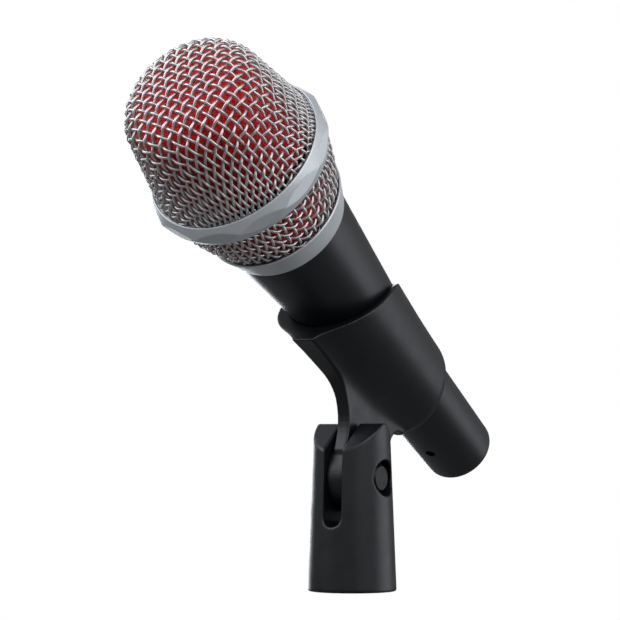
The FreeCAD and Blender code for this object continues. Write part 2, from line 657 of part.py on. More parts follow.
# ------------------------------------------------------------------- capsule
def capsule():
    """Moving-coil capsule in its basket, its carrier tube and its mount."""
    rear = "capsule_station"
    carrier_bore = "(carrier_radius - carrier_wall)"
    put_in_microphone(turned("capsule_carrier", [
        (carrier_bore, "carrier_station"), ("carrier_radius", "carrier_station"),
        ("carrier_radius", f"{rear} - carrier_flange"), ("cup_radius", f"{rear} - carrier_flange"),
        ("cup_radius", rear), (carrier_bore, rear)]))
    mount_top = f"{rear} - mount_inset"
    put_in_microphone(turned("shock_mount", [
        ("carrier_radius", f"{mount_top} - mount_length"),
        ("collar_bore - mount_lead", f"{mount_top} - mount_length"),
        ("collar_bore - press_gap", f"{mount_top} - mount_length + 2 * mount_lead"),
        ("collar_bore - press_gap", mount_top), ("carrier_radius", mount_top)]))
    board_top = "carrier_station + board_thickness"
    board = turned("board_disc", [
        ("0", "carrier_station"), (f"{carrier_bore} - running_gap", "carrier_station"),
        (f"{carrier_bore} - running_gap", board_top), ("0", board_top)])
    terminals = []
    for side in (-1, 1):
        terminal = cylinder(f"terminal_{side + 2}", "terminal_radius", "terminal_length")
        bind(terminal, {"Placement.Base.x": f"{side} * terminal_spacing",
                        "Placement.Base.z": "carrier_station - terminal_length"})
        terminals.append(terminal)
    terminal_board = joined("terminal_board", [board] + terminals)
    terminal_board.Label = "terminal_board"
    put_in_microphone(terminal_board)

    cup_floor = f"{rear} + cup_wall"
    cup_top = f"{rear} + cup_height"
    put_in_microphone(turned("magnet_cup", [
        ("0", rear), ("cup_radius", rear), ("cup_radius", cup_top),
        ("cup_radius - cup_wall", cup_top), ("cup_radius - cup_wall", cup_floor), ("0", cup_floor)]))
    magnet_top = f"{cup_floor} + magnet_height"
    put_in_microphone(turned("magnet", [
        ("0", cup_floor), ("magnet_radius", cup_floor), ("magnet_radius", magnet_top),
        ("0", magnet_top)]))
    put_in_microphone(turned("pole_plate", [
        ("0", magnet_top), ("plate_radius", magnet_top), ("plate_radius", cup_top), ("0", cup_top)]))

    seat = f"({rear} + basket_ledge)"
    coil_outer = "(coil_inner + coil_wall)"
    put_in_microphone(turned("voice_coil", ring_of(
        "coil_inner", coil_outer, f"{seat} - coil_length", seat)))
    film_rim = "(basket_radius - basket_wall - seat_gap)"
    dome_radius = f"(({coil_outer}^2 + film_rise^2) / (2 * film_rise))"
    put_in_microphone(turned("diaphragm", [
        (coil_outer, seat), (film_rim, seat), (film_rim, f"{seat} + film_thickness"),
        (coil_outer, f"{seat} + film_thickness", dome_radius, True),
        ("0", f"{seat} + film_thickness + film_rise"),
        ("0", f"{seat} + film_rise", dome_radius, False)]))

    ledge_bore = "(cup_radius + running_gap)"
    basket_top = f"({rear} + basket_height)"
    put_in_microphone(turned("capsule_basket", [
        (ledge_bore, rear), ("basket_radius", rear), ("basket_radius", basket_top),
        ("basket_radius - basket_wall", basket_top), ("basket_radius - basket_wall", seat),
        (ledge_bore, seat)]))
    skirt_radius = "(basket_radius - basket_wall - running_gap)"
    cap_top = f"({basket_top} + cap_thickness)"
    cap = turned("cap_blank", [
        (f"{skirt_radius} - cap_skirt", f"{seat} + film_thickness + running_gap"),
        (skirt_radius, f"{seat} + film_thickness + running_gap"),
        (skirt_radius, basket_top), ("basket_radius", basket_top), ("basket_radius", cap_top),
        ("0", cap_top), ("0", basket_top), (f"{skirt_radius} - cap_skirt", basket_top)])
    holes = []
    for count, share in CAP_HOLE_CIRCLES:
        for step in range(count):
            angle = 360.0 * step / count
            hole = cylinder(f"cap_hole_{len(holes) + 1}", "cap_hole_radius", "3 * cap_thickness")
            bind(hole, {
                "Placement.Base.x": f"basket_radius * {share} * cos({angle})",
                "Placement.Base.y": f"basket_radius * {share} * sin({angle})",
                "Placement.Base.z": f"{basket_top} - cap_thickness"})
            holes.append(hole)
    put_in_microphone(cut("capsule_cap", cap, joined("cap_holes", holes)))
    put_in_microphone(turned("capsule_felt", [
        ("0", cap_top), ("felt_radius", cap_top), ("felt_radius", f"{cap_top} + felt_thickness"),
        ("0", f"{cap_top} + felt_thickness")]))


def threaded_collar():
    """Aluminium collar in the handle's mouth that the grille screws onto."""
    seat = "(handle_length - collar_seat)"
    share = f"({seat} - waist_station) / (handle_length - waist_station)"
    spigot = f"(waist_radius - handle_wall + (front_radius - waist_radius) * {share} - running_gap)"
    put_in_microphone(turned("threaded_collar", [
        ("collar_bore", seat), (spigot, seat), (spigot, "handle_length"),
        ("thread_radius", "handle_length"), ("thread_radius", "handle_length + thread_length"),
        ("collar_bore", "handle_length + thread_length")]))


# -------------------------------------------------------------------- grille
SIDE_SLOPE = "atan(side_fall / (side_height - seat_gap))"


def dome_wall(inset):
    """Corners of the head's upper wall, moved in by an inset.

    The side is a cone. A knuckle arc joins it to a crown arc whose centre is
    on the axis, so that both joints are tangent.
    """
    knuckle_x = f"(shoulder_radius - knuckle_radius * cos({SIDE_SLOPE}))"
    knuckle_y = f"(shoulder_station - knuckle_radius * sin({SIDE_SLOPE}))"
    rise = f"(mic_length - {knuckle_y} - knuckle_radius)"
    depth = f"(({knuckle_x}^2 - {rise}^2) / (2 * {rise}))"
    length = f"({rise} + {depth})"
    reach = f"(knuckle_radius - ({inset}))"
    return {
        "shoulder": (f"shoulder_radius - ({inset}) * cos({SIDE_SLOPE})",
                     f"shoulder_station - ({inset}) * sin({SIDE_SLOPE})"),
        "knuckle": reach,
        "join": (f"{knuckle_x} * (1 + {reach} / {length})",
                 f"{knuckle_y} + {reach} * {depth} / {length}"),
        "crown": f"({length} + {reach})",
        "tip": ("0", f"mic_length - ({inset})"),
    }


def side_radius(station, inset):
    """Radius of the upper wall's side at a station, moved in by an inset."""
    return (f"(shoulder_radius + (shoulder_station - ({station})) * tan({SIDE_SLOPE})"
            f" - ({inset}) / cos({SIDE_SLOPE}))")


def domed_shell(label, foot, outer_inset, thickness):
    """Closed dome with an open foot, as thick as given."""
    inner_inset = f"({outer_inset}) + {thickness}"
    outer = dome_wall(outer_inset)
    inner = dome_wall(inner_inset)
    return turned(label, [
        (side_radius(foot, inner_inset), foot),
        (side_radius(foot, outer_inset), foot),
        (*outer["shoulder"], outer["knuckle"], True),
        (*outer["join"], outer["crown"], True),
        outer["tip"],
        (*inner["tip"], inner["crown"], False),
        (*inner["join"], inner["knuckle"], False),
        inner["shoulder"]])


def bulged_ring(label, foot, head, inset, thickness):
    """Ring of the lower mesh's curve, moved in by an inset."""
    lower = f"lower_mesh_foot - ({inset})"
    upper = f"lower_mesh_head - ({inset})"
    return turned(label, [
        (f"{lower} - {thickness}", foot),
        (lower, foot, "lower_mesh_bulge", True),
        (upper, head),
        (f"{upper} - {thickness}", head, "lower_mesh_bulge", False)])


def grille():
    """Screw-on head: band, two meshes, faceted ring and foam lining."""
    band_foot = "(handle_length + seat_gap)"
    band_head = "(handle_length + band_length)"
    ledge = f"({band_head} - band_ledge)"
    put_in_microphone(turned("grille_band", [
        ("thread_radius + running_gap", band_foot), ("band_rear_radius", band_foot),
        ("band_front_radius", f"{band_head} - band_edge"),
        ("band_front_radius - band_edge", band_head),
        ("band_front_radius - band_lip", band_head),
        ("band_front_radius - band_lip - band_edge", ledge),
        ("thread_radius + running_gap", ledge)]))
    mesh_foot = f"({band_head} + seat_gap)"
    mesh_head = "(ring_station - seat_gap)"
    put_in_microphone(bulged_ring("lower_mesh", mesh_foot, mesh_head, "0", "mesh_thickness"))

    blank = turned("ring_blank", [
        ("ring_bore", "ring_station"), ("ring_lower_radius", "ring_station"),
        ("ring_radius", "ring_station + ring_edge_rise"), ("ring_upper_radius", "ring_top"),
        ("ring_bore", "ring_top")])
    facets = document.addObject("Part::Prism", "ring_facets")
    facets.Polygon = RING_SIDES
    facets.Placement = FreeCAD.Placement(Vector(), FreeCAD.Rotation(Vector(0, 0, 1), 10.0))
    bind(facets, {
        "Circumradius": "ring_radius", "Height": "mic_length",
        "Placement.Rotation.Angle": "ring_turn * 1 deg"})
    ring = common("grille_ring", [blank, facets])
    ring.Label = "grille_ring"
    put_in_microphone(ring)

    put_in_microphone(domed_shell("upper_mesh", "ring_top + seat_gap", "0", "mesh_thickness"))
    foam_inset = "mesh_thickness + foam_gap"
    put_in_microphone(bulged_ring(
        "lower_foam", f"{ledge} + foam_gap", mesh_head, foam_inset, "foam_thickness"))
    put_in_microphone(domed_shell(
        "upper_foam", "ring_top + foam_gap", foam_inset, "foam_thickness"))


# ------------------------------------------------------------ build and write
SUB_PARTS = [
    "stand_base", "thread_insert", "thread_adapter", "pivot_bolt", "spring_washer", "pivot_nut",
    "clip_sleeve",
    "handle_body", "xlr_insulator", "xlr_pins", "xlr_set_screw", "signal_leads",
    "threaded_collar", "shock_mount", "capsule_carrier", "terminal_board", "magnet_cup", "magnet",
    "pole_plate", "voice_coil", "diaphragm", "capsule_basket", "capsule_cap", "capsule_felt",
    "grille_band", "lower_mesh", "grille_ring", "upper_mesh", "lower_foam", "upper_foam",
]

stand_base()
stand_fittings()
clip_sleeve()
handle_body()
cable_socket()
signal_leads()
capsule()
threaded_collar()
grille()
document.recompute()

for item in document.Objects:
    faults = [state for state in item.State if state in ("Invalid", "Error")]
    if faults:
        raise RuntimeError(f"{item.Label} did not build: {faults}")

os.makedirs("parts", exist_ok=True)
for label in SUB_PARTS:
    shape = document.getObjectsByLabel(label)[0].Shape
    if shape.isNull() or not shape.isValid():
        raise RuntimeError(f"{label} has no valid shape")
    shape.exportStep(f"parts/{label}.step")
    print(f"{label}: {len(shape.Solids)} solid(s), {shape.Volume:.1f} mm3")
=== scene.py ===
# %% [markdown]
# # A handheld dynamic microphone in its clip
#
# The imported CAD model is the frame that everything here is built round: each piece has its right
# place and size in it already. It is loaded first. Pieces whose shape is right are only given a
# finish. Pieces that need more than CAD gives, such as woven wire, are made here and take the CAD
# piece's place. Lengths are in millimetres until a mesh or an object is made, and then in metres.

# %% Load the frame
import json
import math

import bpy
import numpy as np
from mathutils import Matrix, Vector


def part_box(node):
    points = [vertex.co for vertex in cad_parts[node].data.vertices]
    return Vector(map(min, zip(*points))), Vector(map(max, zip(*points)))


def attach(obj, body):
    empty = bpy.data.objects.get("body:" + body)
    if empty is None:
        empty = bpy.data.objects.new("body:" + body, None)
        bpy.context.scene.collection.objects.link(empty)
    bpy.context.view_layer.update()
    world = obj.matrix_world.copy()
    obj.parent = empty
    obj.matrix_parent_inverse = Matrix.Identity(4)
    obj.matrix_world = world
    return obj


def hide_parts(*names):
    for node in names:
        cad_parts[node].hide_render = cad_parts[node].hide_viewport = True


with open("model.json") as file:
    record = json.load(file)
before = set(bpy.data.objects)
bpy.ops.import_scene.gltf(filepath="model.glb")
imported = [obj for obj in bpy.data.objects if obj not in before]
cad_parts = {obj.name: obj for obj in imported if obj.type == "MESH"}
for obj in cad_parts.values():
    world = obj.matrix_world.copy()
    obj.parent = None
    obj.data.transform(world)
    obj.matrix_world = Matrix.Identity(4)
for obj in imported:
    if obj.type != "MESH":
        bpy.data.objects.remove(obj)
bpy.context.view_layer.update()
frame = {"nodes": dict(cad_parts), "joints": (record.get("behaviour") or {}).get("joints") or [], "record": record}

MM = 0.001

# %% [markdown]
# ## The microphone's own axes
#
# The microphone leans in its clip, so its turned pieces are easiest to describe along its own
# axis: a station in millimetres from the tail, a distance from the axis, and an angle round it. The
# slide joint gives the axis' direction, and the cable socket's mount gives its start. Angle 0 is
# the clip's pivot direction, +X, and 90 degrees is the microphone's upper side.

# %% Axes and stations
joints = {joint["name"]: joint for joint in frame["joints"]}
mounts = {mount["name"]: mount for mount in frame["record"]["mounts"]}
ALONG = np.array(joints["mic_slide"]["axis"], float)
ACROSS = np.array([1.0, 0.0, 0.0])
OVER = np.cross(ALONG, ACROSS)
TAIL = np.array(mounts["xlr_socket"]["pos_m"], float) / MM
PIVOT = np.array(joints["clip_tilt"]["pos_m"], float) / MM


def on_mic(x, y, station):
    """Points in mm in the row frame: TAIL + x * ACROSS + y * OVER + station * ALONG."""
    x, y, station = np.broadcast_arrays(x, y, station)
    return TAIL + x[..., None] * ACROSS + y[..., None] * OVER + station[..., None] * ALONG


def node_points(name):
    """The vertices of a CAD node in mm, as rows of (x across, y over, station)."""
    mesh = frame["nodes"][name].data
    points = np.empty(len(mesh.vertices) * 3, np.float32)
    mesh.vertices.foreach_get("co", points)
    points = points.reshape(-1, 3) / MM - TAIL
    return np.stack([points @ ACROSS, points @ OVER, points @ ALONG], axis=-1)


def reach(name):
    """A node's lowest and highest station and its largest distance from the axis."""
    points = node_points(name)
    return points[:, 2].min(), points[:, 2].max(), np.hypot(points[:, 0], points[:, 1]).max()


for name in ("grille_band", "lower_mesh", "grille_ring", "upper_mesh"):
    print(name, "stations and radius in mm:", np.round(reach(name), 2))

# %% [markdown]
# ## The camera
#
# A long lens from nearly level, a little to the microphone's right, shows the head nearest and the
# base upright. The distance and the lens go together: a closer camera would enlarge the head. The
# camera looks along a line that passes the origin so many millimetres to the side and above.

# %% Camera
AZIMUTH, ELEVATION = math.radians(31.37), math.radians(-3.46)
DISTANCE, AIM_ACROSS, AIM_UP = 649.8, -12.19, 81.20
LENS, SENSOR = 130.52, 36.0

back = np.array([
    math.sin(AZIMUTH) * math.cos(ELEVATION),
    -math.cos(AZIMUTH) * math.cos(ELEVATION),
    math.sin(ELEVATION),
])
right = np.cross([0.0, 0.0, 1.0], back)
right /= np.linalg.norm(right)
upward = np.cross(back, right)
facing = Matrix(np.stack([right, upward, back], axis=1).tolist())
camera = bpy.data.objects.new("camera", bpy.data.cameras.new("camera"))
bpy.context.scene.collection.objects.link(camera)
camera.data.lens, camera.data.sensor_width = LENS, SENSOR
camera.data.clip_start, camera.data.clip_end = 0.05, 20.0
camera.rotation_mode = "QUATERNION"
camera.rotation_quaternion = facing.to_quaternion()
camera.location = ((right * AIM_ACROSS + upward * AIM_UP + back * DISTANCE) * MM).tolist()
bpy.context.scene.camera = camera
print("camera at", [round(value, 3) for value in camera.location])

# %% [markdown]
# ## Finishes
#
# Colours are written as a screen shows them, and one function turns them to the linear light that
# Blender works in. One more function adds a node with its settings and links, and a third adds the
# node that is needed most, which carries a number from one range to another.

# %% Colour and node helpers
def colour(code):
    """An sRGB hex colour as linear RGBA: a channel c becomes ((c + 0.055) / 1.055) ** 2.4."""
    channels = np.array([int(code[i:i + 2], 16) for i in (1, 3, 5)]) / 255
    linear = np.where(channels <= 0.04045, channels / 12.92, ((channels + 0.055) / 1.055) ** 2.4)
    return (*linear.tolist(), 1.0)


def add(tree, kind, settings=(), **links):
    """Add a node, set its properties and sockets from a dict, and link sockets named in links."""
    node = tree.nodes.new(kind)
    for key, value in dict(settings).items():
        if isinstance(key, str) and hasattr(node, key):
            setattr(node, key, value)
        else:
            node.inputs[key].default_value = value
    for key, source in links.items():
        tree.links.new(source, node.inputs[key.replace("_", " ")])
    return node


def remap(tree, value, low, high, start=0.0, end=1.0):
    """A value that goes from low to high as another goes from start to end, and no further."""
    ranges = {"From Min": start, "From Max": end, "To Min": low, "To Max": high}
    return add(tree, "ShaderNodeMapRange", ranges, Value=value).outputs["Result"]


# Blender's noise rarely leaves this range, so it is what is spread over the wanted one.
NOISE_LOW, NOISE_HIGH = 0.3, 0.7


def finish(name, base, metallic, roughness, patch=6.0, tone=0.08, uneven=0.05, grain=0.5,
           depth=0.006, stretch=(1, 1, 1), **sockets):
    """A material from two noises: a broad one for tone and gloss, and a fine one for the relief.

    Patch, grain and depth are the broad noise's size, the fine one's and the relief's, in mm. The
    colour goes from (1 - tone) to (1 + tone) of the base, and the roughness from -uneven to
    +uneven round its own value. A stretch under 1 makes the fine noise long in that direction.
    """
    material = bpy.data.materials.new(name)
    material.use_nodes = True
    tree = material.node_tree
    shader = tree.nodes["Principled BSDF"]
    shader.inputs["Metallic"].default_value = metallic
    for key, value in sockets.items():
        shader.inputs[key.replace("_", " ")].default_value = value
    place = add(tree, "ShaderNodeTexCoord").outputs["Object"]
    broad = add(tree, "ShaderNodeTexNoise", {"Scale": 1 / (patch * MM), "Detail": 3.0},
                Vector=place).outputs[0]
    shade = remap(tree, broad, 1 - tone, 1 + tone, NOISE_LOW, NOISE_HIGH)
    gloss = remap(tree, broad, roughness - uneven, roughness + uneven, NOISE_LOW, NOISE_HIGH)
    tinted = add(tree, "ShaderNodeVectorMath", {"operation": "SCALE", 0: colour(base)[:3]},
                 Scale=shade)
    drawn_out = add(tree, "ShaderNodeMapping", {"Scale": stretch}, Vector=place)
    fine = add(tree, "ShaderNodeTexNoise", {"Scale": 1 / (grain * MM), "Detail": 2.0},
               Vector=drawn_out.outputs[0])
    relief = add(tree, "ShaderNodeBump", {"Distance": depth * MM}, Height=fine.outputs[0])
    tree.links.new(tinted.outputs[0], shader.inputs["Base Color"])
    tree.links.new(gloss, shader.inputs["Roughness"])
    tree.links.new(relief.outputs[0], shader.inputs["Normal"])
    return material


RIM_CREST, RIM_END = 0.02, 0.3


def open_cell_foam(name, struts, pore_shade, cell, depth):
    """Reticulated foam: cells of so many mm, with bright rims and deep middles, whose darker colour is painted
    shade.

    The rim fades out over the share of a cell from RIM_CREST to RIM_END away from its edge.
    """
    material = finish(name, struts, 0.0, 0.95, Sheen_Weight=0.3)
    tree = material.node_tree
    shader = tree.nodes["Principled BSDF"]
    place = add(tree, "ShaderNodeTexCoord").outputs["Object"]
    cells = add(tree, "ShaderNodeTexVoronoi",
                {"feature": "DISTANCE_TO_EDGE", "Scale": 1 / (cell * MM)}, Vector=place)
    rim = remap(tree, cells.outputs[0], 1.0, 0.0, RIM_CREST, RIM_END)
    # A Mix node has sockets for every kind of value: 6, 7 and output 2 are the ones for colours.
    # The pores' darker red is painted shade: the foam is one red, and the cells' middles are darkened where shade
    # falls.
    mixed = add(tree, "ShaderNodeMix", {"data_type": "RGBA", 6: colour(pore_shade), 7: colour(struts)})
    tree.links.new(rim, mixed.inputs[0])
    relief = add(tree, "ShaderNodeBump", {"Distance": depth * MM}, Height=rim)
    tree.links.new(mixed.outputs[2], shader.inputs["Base Color"])
    tree.links.new(relief.outputs[0], shader.inputs["Normal"])
    return material


# %% [markdown]
# Each finish is named for the real one. The comment says what it gives the eye. Textures finer
# than about half a millimetre would vanish at this distance, so they are drawn that coarse. Every
# CAD node then gets the finish of its slot in the record.

# %% Finishes
FINISHES = {
    # Glass-filled nylon from a spark-eroded mould: near black, satin, with a fine even grain.
    "moulded_nylon": finish("moulded_nylon", "#090b0f", 0.0, 0.42, tone=0.15, uneven=0.04,
                            grain=0.45, depth=0.012, Specular_IOR_Level=0.42),
    # Brass from the lathe, a little dulled: warm yellow with fine turning lines.
    "turned_brass": finish("turned_brass", "#c4a05a", 1.0, 0.3, grain=0.6, depth=0.01,
                           stretch=(0.1, 0.1, 1)),
    # Zinc-plated steel: cool grey, cloudy gloss.
    "plated_steel": finish("plated_steel", "#b4b8bd", 1.0, 0.32, patch=2.0, uneven=0.1),
    # Steel blackened in a hot oxide bath: deep grey, oily sheen.
    "blackened_steel": finish("blackened_steel", "#1a1b1d", 0.7, 0.42, patch=1.5, uneven=0.08),
    # Baked satin paint on aluminium: cold black, soft broad highlights, slight orange peel.
    "black_enamel": finish("black_enamel", "#090b0f", 0.0, 0.41, patch=9.0, tone=0.1,
                           uneven=0.025, grain=0.9, Specular_IOR_Level=0.45),
    # Glass-filled polyester round the contacts: plain dark grey, matt.
    "socket_plastic": finish("socket_plastic", "#151516", 0.0, 0.55, depth=0.01),
    # Thin gold on the contact pins: warm, bright and smooth.
    "contact_plating": finish("contact_plating", "#d8b25c", 1.0, 0.22, patch=1.5, depth=0.002),
    # Vinyl on the leads: dull dark red with a waxy shine.
    "lead_insulation": finish("lead_insulation", "#8c1f1f", 0.0, 0.45, patch=3.0),
    # Aluminium from the lathe: pale, with turning lines across the axis.
    "turned_aluminium": finish("turned_aluminium", "#bfc1c4", 1.0, 0.33, grain=0.6, depth=0.01,
                               stretch=(0.1, 1, 1)),
    # Moulded rubber: charcoal, no shine, faint bloom.
    "mount_rubber": finish("mount_rubber", "#1d1d1e", 0.0, 0.85, tone=0.2, Sheen_Weight=0.2),
    # ABS carrier: dark grey, eggshell.
    "carrier_plastic": finish("carrier_plastic", "#222326", 0.0, 0.5, depth=0.008),
    # Glass-epoxy board with green lacquer: shiny, with the weave showing faintly.
    "board_laminate": finish("board_laminate", "#1b5537", 0.0, 0.35, patch=1.2, tone=0.15),
    # Soft iron of the magnet's cup: grey, faintly mottled.
    "soft_iron": finish("soft_iron", "#85888c", 1.0, 0.42, patch=2.5, uneven=0.1),
    # Nickel on the magnet: bright with a yellow cast.
    "magnet_nickel": finish("magnet_nickel", "#c6c3ba", 1.0, 0.24, patch=3.0),
    # Enamelled copper winding: brown-red with fine turns of wire round the axis.
    "coil_copper": finish("coil_copper", "#b2643a", 1.0, 0.32, depth=0.03, stretch=(0.1, 1, 1)),
    # Polyester film: pale, smooth and glossy.
    "polyester_film": finish("polyester_film", "#c6cad0", 0.0, 0.16, depth=0.002),
    # Wool felt: grey fibres, matt with a soft bloom.
    "grey_felt": finish("grey_felt", "#58595c", 0.0, 0.95, patch=0.8, tone=0.25, grain=0.35,
                        depth=0.15, Sheen_Weight=0.4),
    # Silver lacquer on the zinc ring and band: satin mid grey with a grain of metal flake.
    "silver_lacquer": finish("silver_lacquer", "#c6cacc", 0.45, 0.44, patch=7.0, tone=0.05,
                             uneven=0.04, depth=0.01),
    # Lacquered steel wire: satin silver, rubbed brighter in places.
    "mesh_wire": finish("mesh_wire", "#c6c2c1", 0.8, 0.34, patch=3.0, tone=0.12, uneven=0.06,
                        grain=0.6, depth=0.008),
    # Open-cell polyurethane foam: bright red struts, with painted shade in the pores in a darker red.
    "red_foam": open_cell_foam("red_foam", "#f31a1e", "#a00c12", 1.1, 0.2),
}
SLOT_OF = {part["node"]: part["material_slot"] for part in frame["record"]["subparts"]}
for name, node in frame["nodes"].items():
    node.data.materials.clear()
    node.data.materials.append(FINISHES[SLOT_OF[name]])
print(len(FINISHES), "finishes on", len(SLOT_OF), "CAD nodes")

# %% [markdown]
# ## Making meshes from arrays
#
# Every new piece is a grid of points worked out all at once. A grid has one direction along the
# piece's profile and one round it. Joining each point to its neighbours gives the faces. Where the
# grid closes on itself the last row joins the first, so that there is no seam, and a pole is one
# point shared by a fan of triangles.

# %% Mesh helpers
def new_piece(name, points, faces, body, slot, replaced=(), sharp=30.0):
    """A mesh object from points in mm in the row frame, riding on a body.

    It is shaded smooth but for edges that bend by more than so many degrees.
    """
    mesh = bpy.data.meshes.new(name)
    mesh.from_pydata((np.asarray(points) * MM).tolist(), [], faces)
    mesh.validate()
    mesh.polygons.foreach_set("use_smooth", np.ones(len(mesh.polygons), bool))
    mesh.set_sharp_from_angle(angle=math.radians(sharp))
    piece = bpy.data.objects.new(name, mesh)
    bpy.context.scene.collection.objects.link(piece)
    mesh.materials.append(FINISHES[slot])
    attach(piece, body)
    if replaced:
        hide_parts(*replaced)
    print(name, "has", len(mesh.vertices), "points and", len(mesh.polygons), "faces")
    return piece


def grid_faces(rows, columns, close_rows=False):
    """Quads between neighbours in a grid whose point (i, j) has number i * columns + j."""
    i = np.arange(rows if close_rows else rows - 1)[:, None]
    j = np.arange(columns)[None, :]
    i_next, j_next = (i + 1) % rows, (j + 1) % columns
    corners = [
        i * columns + j, i * columns + j_next, i_next * columns + j_next, i_next * columns + j,
    ]
    return np.stack(corners, axis=-1).reshape(-1, 4)


def circle_of(count):
    """So many equal angles round a circle, without the last that would repeat the first."""
    return np.linspace(0, 2 * np.pi, count, endpoint=False)


def turned(profile, segments):
    """Points and faces of a profile of (radius, station) carried round the microphone's axis.

    A point is radius * cos(angle) across and radius * sin(angle) over. The profile is either a
    closed loop or starts and ends on the axis, where each end becomes a single pole.
    """
    poles = profile[0, 0] == 0
    ring = profile[1:-1] if poles else profile
    angle = circle_of(segments)
    points = on_mic(
        ring[:, :1] * np.cos(angle), ring[:, :1] * np.sin(angle), ring[:, 1:]
    ).reshape(-1, 3)
    faces = grid_faces(len(ring), segments, close_rows=not poles).tolist()
    if poles:
        first, last = len(points), len(points) + 1
        points = np.vstack([points, on_mic(0, 0, profile[[0, -1], 1])])
        j = np.arange(segments)
        j_next = (j + 1) % segments
        base = (len(ring) - 1) * segments
        faces += np.stack([j_next, j, 0 * j + first], axis=-1).tolist()
        faces += np.stack([base + j, base + j_next, 0 * j + last], axis=-1).tolist()
    return points, faces


# %% [markdown]
# ## The cloth of woven wire
#
# The grille is steel wire cloth in plain weave, pressed from a flat sheet into a cup. The sheet
# can't stay square: wires keep their spacing along the two directions of the weave, and between
# them the squares are drawn into thin diamonds. So the cloth is laid out flat first, and then a
# rule draws each flat point over the cup: its distance from the pole is kept but for a little
# stretch, and its angle is moved towards the diagonals as the cup gets deeper. Wires that follow
# that rule are spaced and slanted as pressed cloth is, which a pattern wrapped round the cup never
# is.

# %% The cup's outline from the CAD node
def cup_outline(name, pole_first):
    """Outer outline of a CAD cup: rows of distance along it, radius and station.

    It runs to the cup's widest place from its pole, or from its narrow end. It is the upper hull of
    the node's (station, radius) points, which suits a cup that bulges everywhere.
    """
    points = node_points(name)
    radius = np.hypot(points[:, 0], points[:, 1])
    stations, group = np.unique(np.round(points[:, 2], 2), return_inverse=True)
    widest = np.zeros(len(stations))
    np.maximum.at(widest, group.ravel(), radius)
    hull = []
    for x, y in zip(stations, widest):
        while len(hull) > 1:
            (x1, y1), (x2, y2) = hull[-2], hull[-1]
            if (x2 - x1) * (y - y1) - (y2 - y1) * (x - x1) < 0:
                break
            hull.pop()
        hull.append((x, y))
    hull = np.array(hull)
    rim = hull[:, 1].argmax()
    hull = hull[rim:][::-1] if pole_first else hull[:rim + 1]
    steps = np.hypot(*np.diff(hull, axis=0).T)
    return np.stack([np.concatenate([[0], np.cumsum(steps)]), hull[:, 1], hull[:, 0]])


def carried_on(outline, at_start, at_end):
    """The outline with a point more, so many mm straight on, at each end where that isn't 0."""
    rows = outline
    if at_start:
        step = (outline[:, 1] - outline[:, 0]) / (outline[0, 1] - outline[0, 0])
        rows = np.hstack([(outline[:, 0] - step * at_start)[:, None], rows])
    if at_end:
        step = (outline[:, -1] - outline[:, -2]) / (outline[0, -1] - outline[0, -2])
        rows = np.hstack([rows, (outline[:, -1] + step * at_end)[:, None]])
    return rows


# How far the cloth goes into the ring's grooves and down behind the band's lip.
TUCK_RING, TUCK_BAND = 1.0, 1.9
upper_cup = cup_outline("upper_mesh", pole_first=True)
upper_cloth = carried_on(upper_cup, 0, TUCK_RING)
print("upper cloth's outline starts and ends at (length, radius, station):",
      np.round(upper_cloth[:, [0, -1]].T, 2).tolist())

# %% The wire cloth
WIRE, PITCH = 0.79, 2.588
SAMPLES, SIDES = 8, 8  # points along a wire from crossing to crossing, and round it
# How the cloth gives with depth, fitted to where its wires cross: factors of t^2 and t^4.
DRAW = (0.66, -0.254)
STRETCH, DIAGONAL_STRETCH = (0.216, -0.205), (0.174, -0.010)
DRAW_DEPTH, DRAW_ROUNDS = 46.5, 30
SHEET_REACH = 1.15 * DRAW_DEPTH
TINY = 1e-9


def drawn(u, v, axis_angle):
    """Where flat cloth points (u, v) lie on a cup: their distance from its pole and their angle.

    With t the distance along the cup as a share of DRAW_DEPTH, the flat distance is the cup's
    times 1 - stretch, and the flat angle is the cup's less draw * sin(4 angle) / 4. The diagonal
    stretch counts by (1 - cos(4 angle)) / 2, which is 0 along the wires and 1 between them. Both
    are solved by putting the last result back in.
    """
    flat, bearing = np.hypot(u, v), np.arctan2(v, u)
    distance, angle = flat.copy(), bearing.copy()
    for _ in range(DRAW_ROUNDS):
        t2 = np.minimum((distance / DRAW_DEPTH) ** 2, 1)
        angle = bearing + (DRAW[0] * t2 + DRAW[1] * t2 ** 2) * np.sin(4 * angle) / 4
        share = (1 - np.cos(4 * angle)) / 2
        stretch = STRETCH[0] * t2 + STRETCH[1] * t2 ** 2
        stretch += (DIAGONAL_STRETCH[0] * t2 + DIAGONAL_STRETCH[1] * t2 ** 2) * share
        distance = flat / (1 - stretch)
    return distance, angle + axis_angle


